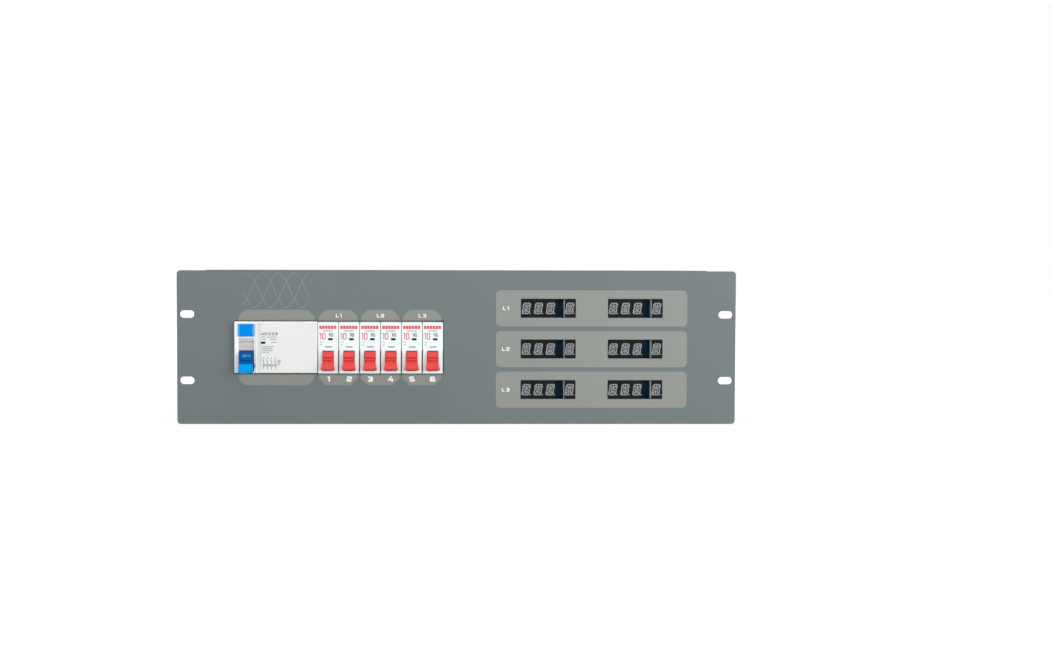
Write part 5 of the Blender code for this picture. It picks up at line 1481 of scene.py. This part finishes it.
def case():
    """Tray, rear panel, and the cover with its countersunk screws."""
    for node in ("chassis_tray", "rear_panel"):
        dress(node, "case_powder_coat")
        soften(node, 0.3 * MM)
    low, high, _ = node_bounds("top_cover")
    places = cover_screws()
    sheet = high.z - low.z
    outlines = [rectangle(low.x, low.y, high.x, high.y, 0.8 * MM, 3)]
    outlines += [circle(x, y, 3.1 * MM, 28) for x, y in places]
    sink = [(0.0, 0.0), (0.15 * MM, 0.08 * MM), (0.6 * MM, 0.6 * MM), (0.6 * MM, sheet)]
    bm = bmesh.new()
    add_slab(bm, outlines, 0, sheet, [0.25 * MM] + [sink] * len(places), 3)
    laid_flat(bm, 0, 0, high.z)
    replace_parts(piece("top_cover_sheet", bm, "case_powder_coat", slot="case"), "top_cover")
    heads = bmesh.new()
    crosses = bmesh.new()
    profile = [(0, 0.1), (0.9, 0.1), (1.0, 0.14), (2.55, 0.14), (2.75, 0.22)]
    profile += [(2.5, 0.6), (2.4, 1.15), (0, 1.15)]
    for x, y in places:
        head = bmesh.new()
        add_turned(head, from_face(0, profile), 0, 0, 28)
        laid_flat(head, x, y, high.z)
        pour(heads, head)
        cross = bmesh.new()
        add_cross(cross, 0, 0, 1.3 * MM, 0.3 * MM, 0.08 * MM, 0.12 * MM)
        laid_flat(cross, x, y, high.z)
        pour(crosses, cross)
    piece("cover_screws", heads, "screw_steel", slot="zinc")
    piece("cover_screw_recesses", crosses, "black_plastic", slot="zinc")


def carried_over():
    """Materials of the CAD nodes that stay as they are."""
    finishes = {
        "din_rail": "zinc_plate", "din_bracket_left": "zinc_plate", "din_bracket_right": "zinc_plate",
        "neutral_bar": "brass", "earth_bar": "brass",
        "feed_loom": "wire_sheath", "outlet_loom": "wire_sheath", "neutral_wire": "blue_wire_sheath",
    }
    for phase in PHASES:
        finishes[f"phase_link_{phase}"] = "copper"
        finishes[f"link_wire_{phase}"] = "wire_sheath"
        finishes[f"current_transformer_{phase}"] = "transformer_case"
    for node, material in finishes.items():
        dress(node, material)


# Floor, light and camera

def larger(tree, first, second):
    """Return the larger of two values as a socket."""
    return add_node(tree, "ShaderNodeMath", first, second, settings={"operation": "MAXIMUM"}).outputs[0]


def shade_world():
    """Even grey light, and white where the camera, gloss or glass sees past the object."""
    world = bpy.data.worlds.new("studio")
    bpy.context.scene.world = world
    tree = empty_tree(world)
    rays = add_node(tree, "ShaderNodeLightPath").outputs
    seen = larger(tree, rays["Is Camera Ray"], rays["Is Glossy Ray"])
    seen = larger(tree, seen, rays["Is Transmission Ray"])
    light = add_node(tree, "ShaderNodeBackground", Color=(0.97, 0.985, 1.0, 1.0), Strength=WORLD_LIGHT)
    white = add_node(tree, "ShaderNodeBackground", Color=WHITE, Strength=1.0)
    add_node(tree, "ShaderNodeOutputWorld", add_node(tree, "ShaderNodeMixShader", seen, light, white))


def floor():
    """Plain pale floor that reads white and keeps a faint shadow close to the object."""
    material = bpy.data.materials.new("floor")
    tree = empty_tree(material)
    where = add_node(tree, "ShaderNodeTexCoord").outputs["Object"]
    away = add_node(tree, "ShaderNodeVectorMath", where, settings={"operation": "LENGTH"}).outputs["Value"]
    strength = ranged(tree, away, 0.84, 1.0, 0.4, 0.9)
    pale = add_node(tree, "ShaderNodeBsdfDiffuse", Color=(0.9, 0.9, 0.9, 1.0))
    faint = add_node(tree, "ShaderNodeBsdfDiffuse", Color=(0.22, 0.22, 0.22, 1.0))
    glow = add_node(tree, "ShaderNodeEmission", Color=WHITE, Strength=strength)
    shown = add_node(tree, "ShaderNodeAddShader", faint, glow)
    rays = add_node(tree, "ShaderNodeLightPath").outputs
    seen = larger(tree, rays["Is Camera Ray"], rays["Is Glossy Ray"])
    add_node(tree, "ShaderNodeOutputMaterial", add_node(tree, "ShaderNodeMixShader", seen, pale, shown))
    bm = bmesh.new()
    bmesh.ops.create_grid(bm, x_segments=1, y_segments=1, size=6)
    mesh = bpy.data.meshes.new("floor")
    bm.to_mesh(mesh)
    bm.free()
    mesh.materials.append(material)
    ground = bpy.data.objects.new("floor", mesh)
    ground.location.z = CAD_BOX[0].z - 0.05 * MM
    bpy.context.scene.collection.objects.link(ground)


def lamp(name, place, aim, size, power):
    """Add a soft square lamp that looks at a point."""
    light = bpy.data.lights.new(name, "AREA")
    light.shape = "SQUARE"
    light.size = size
    light.energy = power
    thing = bpy.data.objects.new(name, light)
    way = Vector(aim) - Vector(place)
    thing.matrix_world = Matrix.Translation(place) @ way.to_track_quat("-Z", "Y").to_matrix().to_4x4()
    bpy.context.scene.collection.objects.link(thing)


def camera():
    """Camera of the photo: its place, aim, roll and lens, and the shift that its framing needs."""
    place = Vector((-0.0368, -1.6275, 0.134))
    forward = (Vector(MIDDLE) - place).normalized()
    right = forward.cross(Vector((0, 0, 1))).normalized()
    up = right.cross(forward)
    roll = math.radians(0.126)
    turned_right = right * math.cos(roll) + up * math.sin(roll)
    turned_up = up * math.cos(roll) - right * math.sin(roll)
    data = bpy.data.cameras.new("camera")
    data.sensor_width = 36
    data.lens = 59.49
    data.shift_x = 0.06535
    data.shift_y = 0.02048
    data.clip_start = 0.05
    thing = bpy.data.objects.new("camera", data)
    columns = (turned_right, turned_up, -forward)
    turn = Matrix([[column[row] for column in columns] for row in range(3)])
    thing.matrix_world = Matrix.Translation(place) @ turn.to_4x4()
    bpy.context.scene.collection.objects.link(thing)
    bpy.context.scene.camera = thing


def studio():
    """Floor, world, soft lamps and the camera."""
    bpy.context.scene.view_settings.view_transform = "Standard"
    shade_world()
    floor()
    lamp("right_lamp", (1.25, -1.5, 0.25), MIDDLE, 1.3, 26.5)
    lamp("left_lamp", (-1.5, -1.7, 0.2), MIDDLE, 2.0, 9)
    lamp("front_lamp", (0.1, -2.3, 0.3), MIDDLE, 1.4, 9)
    lamp("top_lamp", (0.0, -0.6, 2.0), (0, -0.25, 0), 1.2, 14)
    lamp("rear_lamp", (-0.5, 1.9, 1.2), (0, 0.125, PANEL_MIDDLE), 1.6, 20)
    camera()


make_paints()
make_pale_plastics()
make_bright_plastics()
make_rear_plastics()
make_display_materials()
make_metals()
make_wiring_materials()
front_panel()
label_plates()
meter_fields()
three_phase_waves()
breakers()
rccb()
meters()
case()
inlet()
outlets()
earth_stud()
rear_screws()
carried_over()
studio()
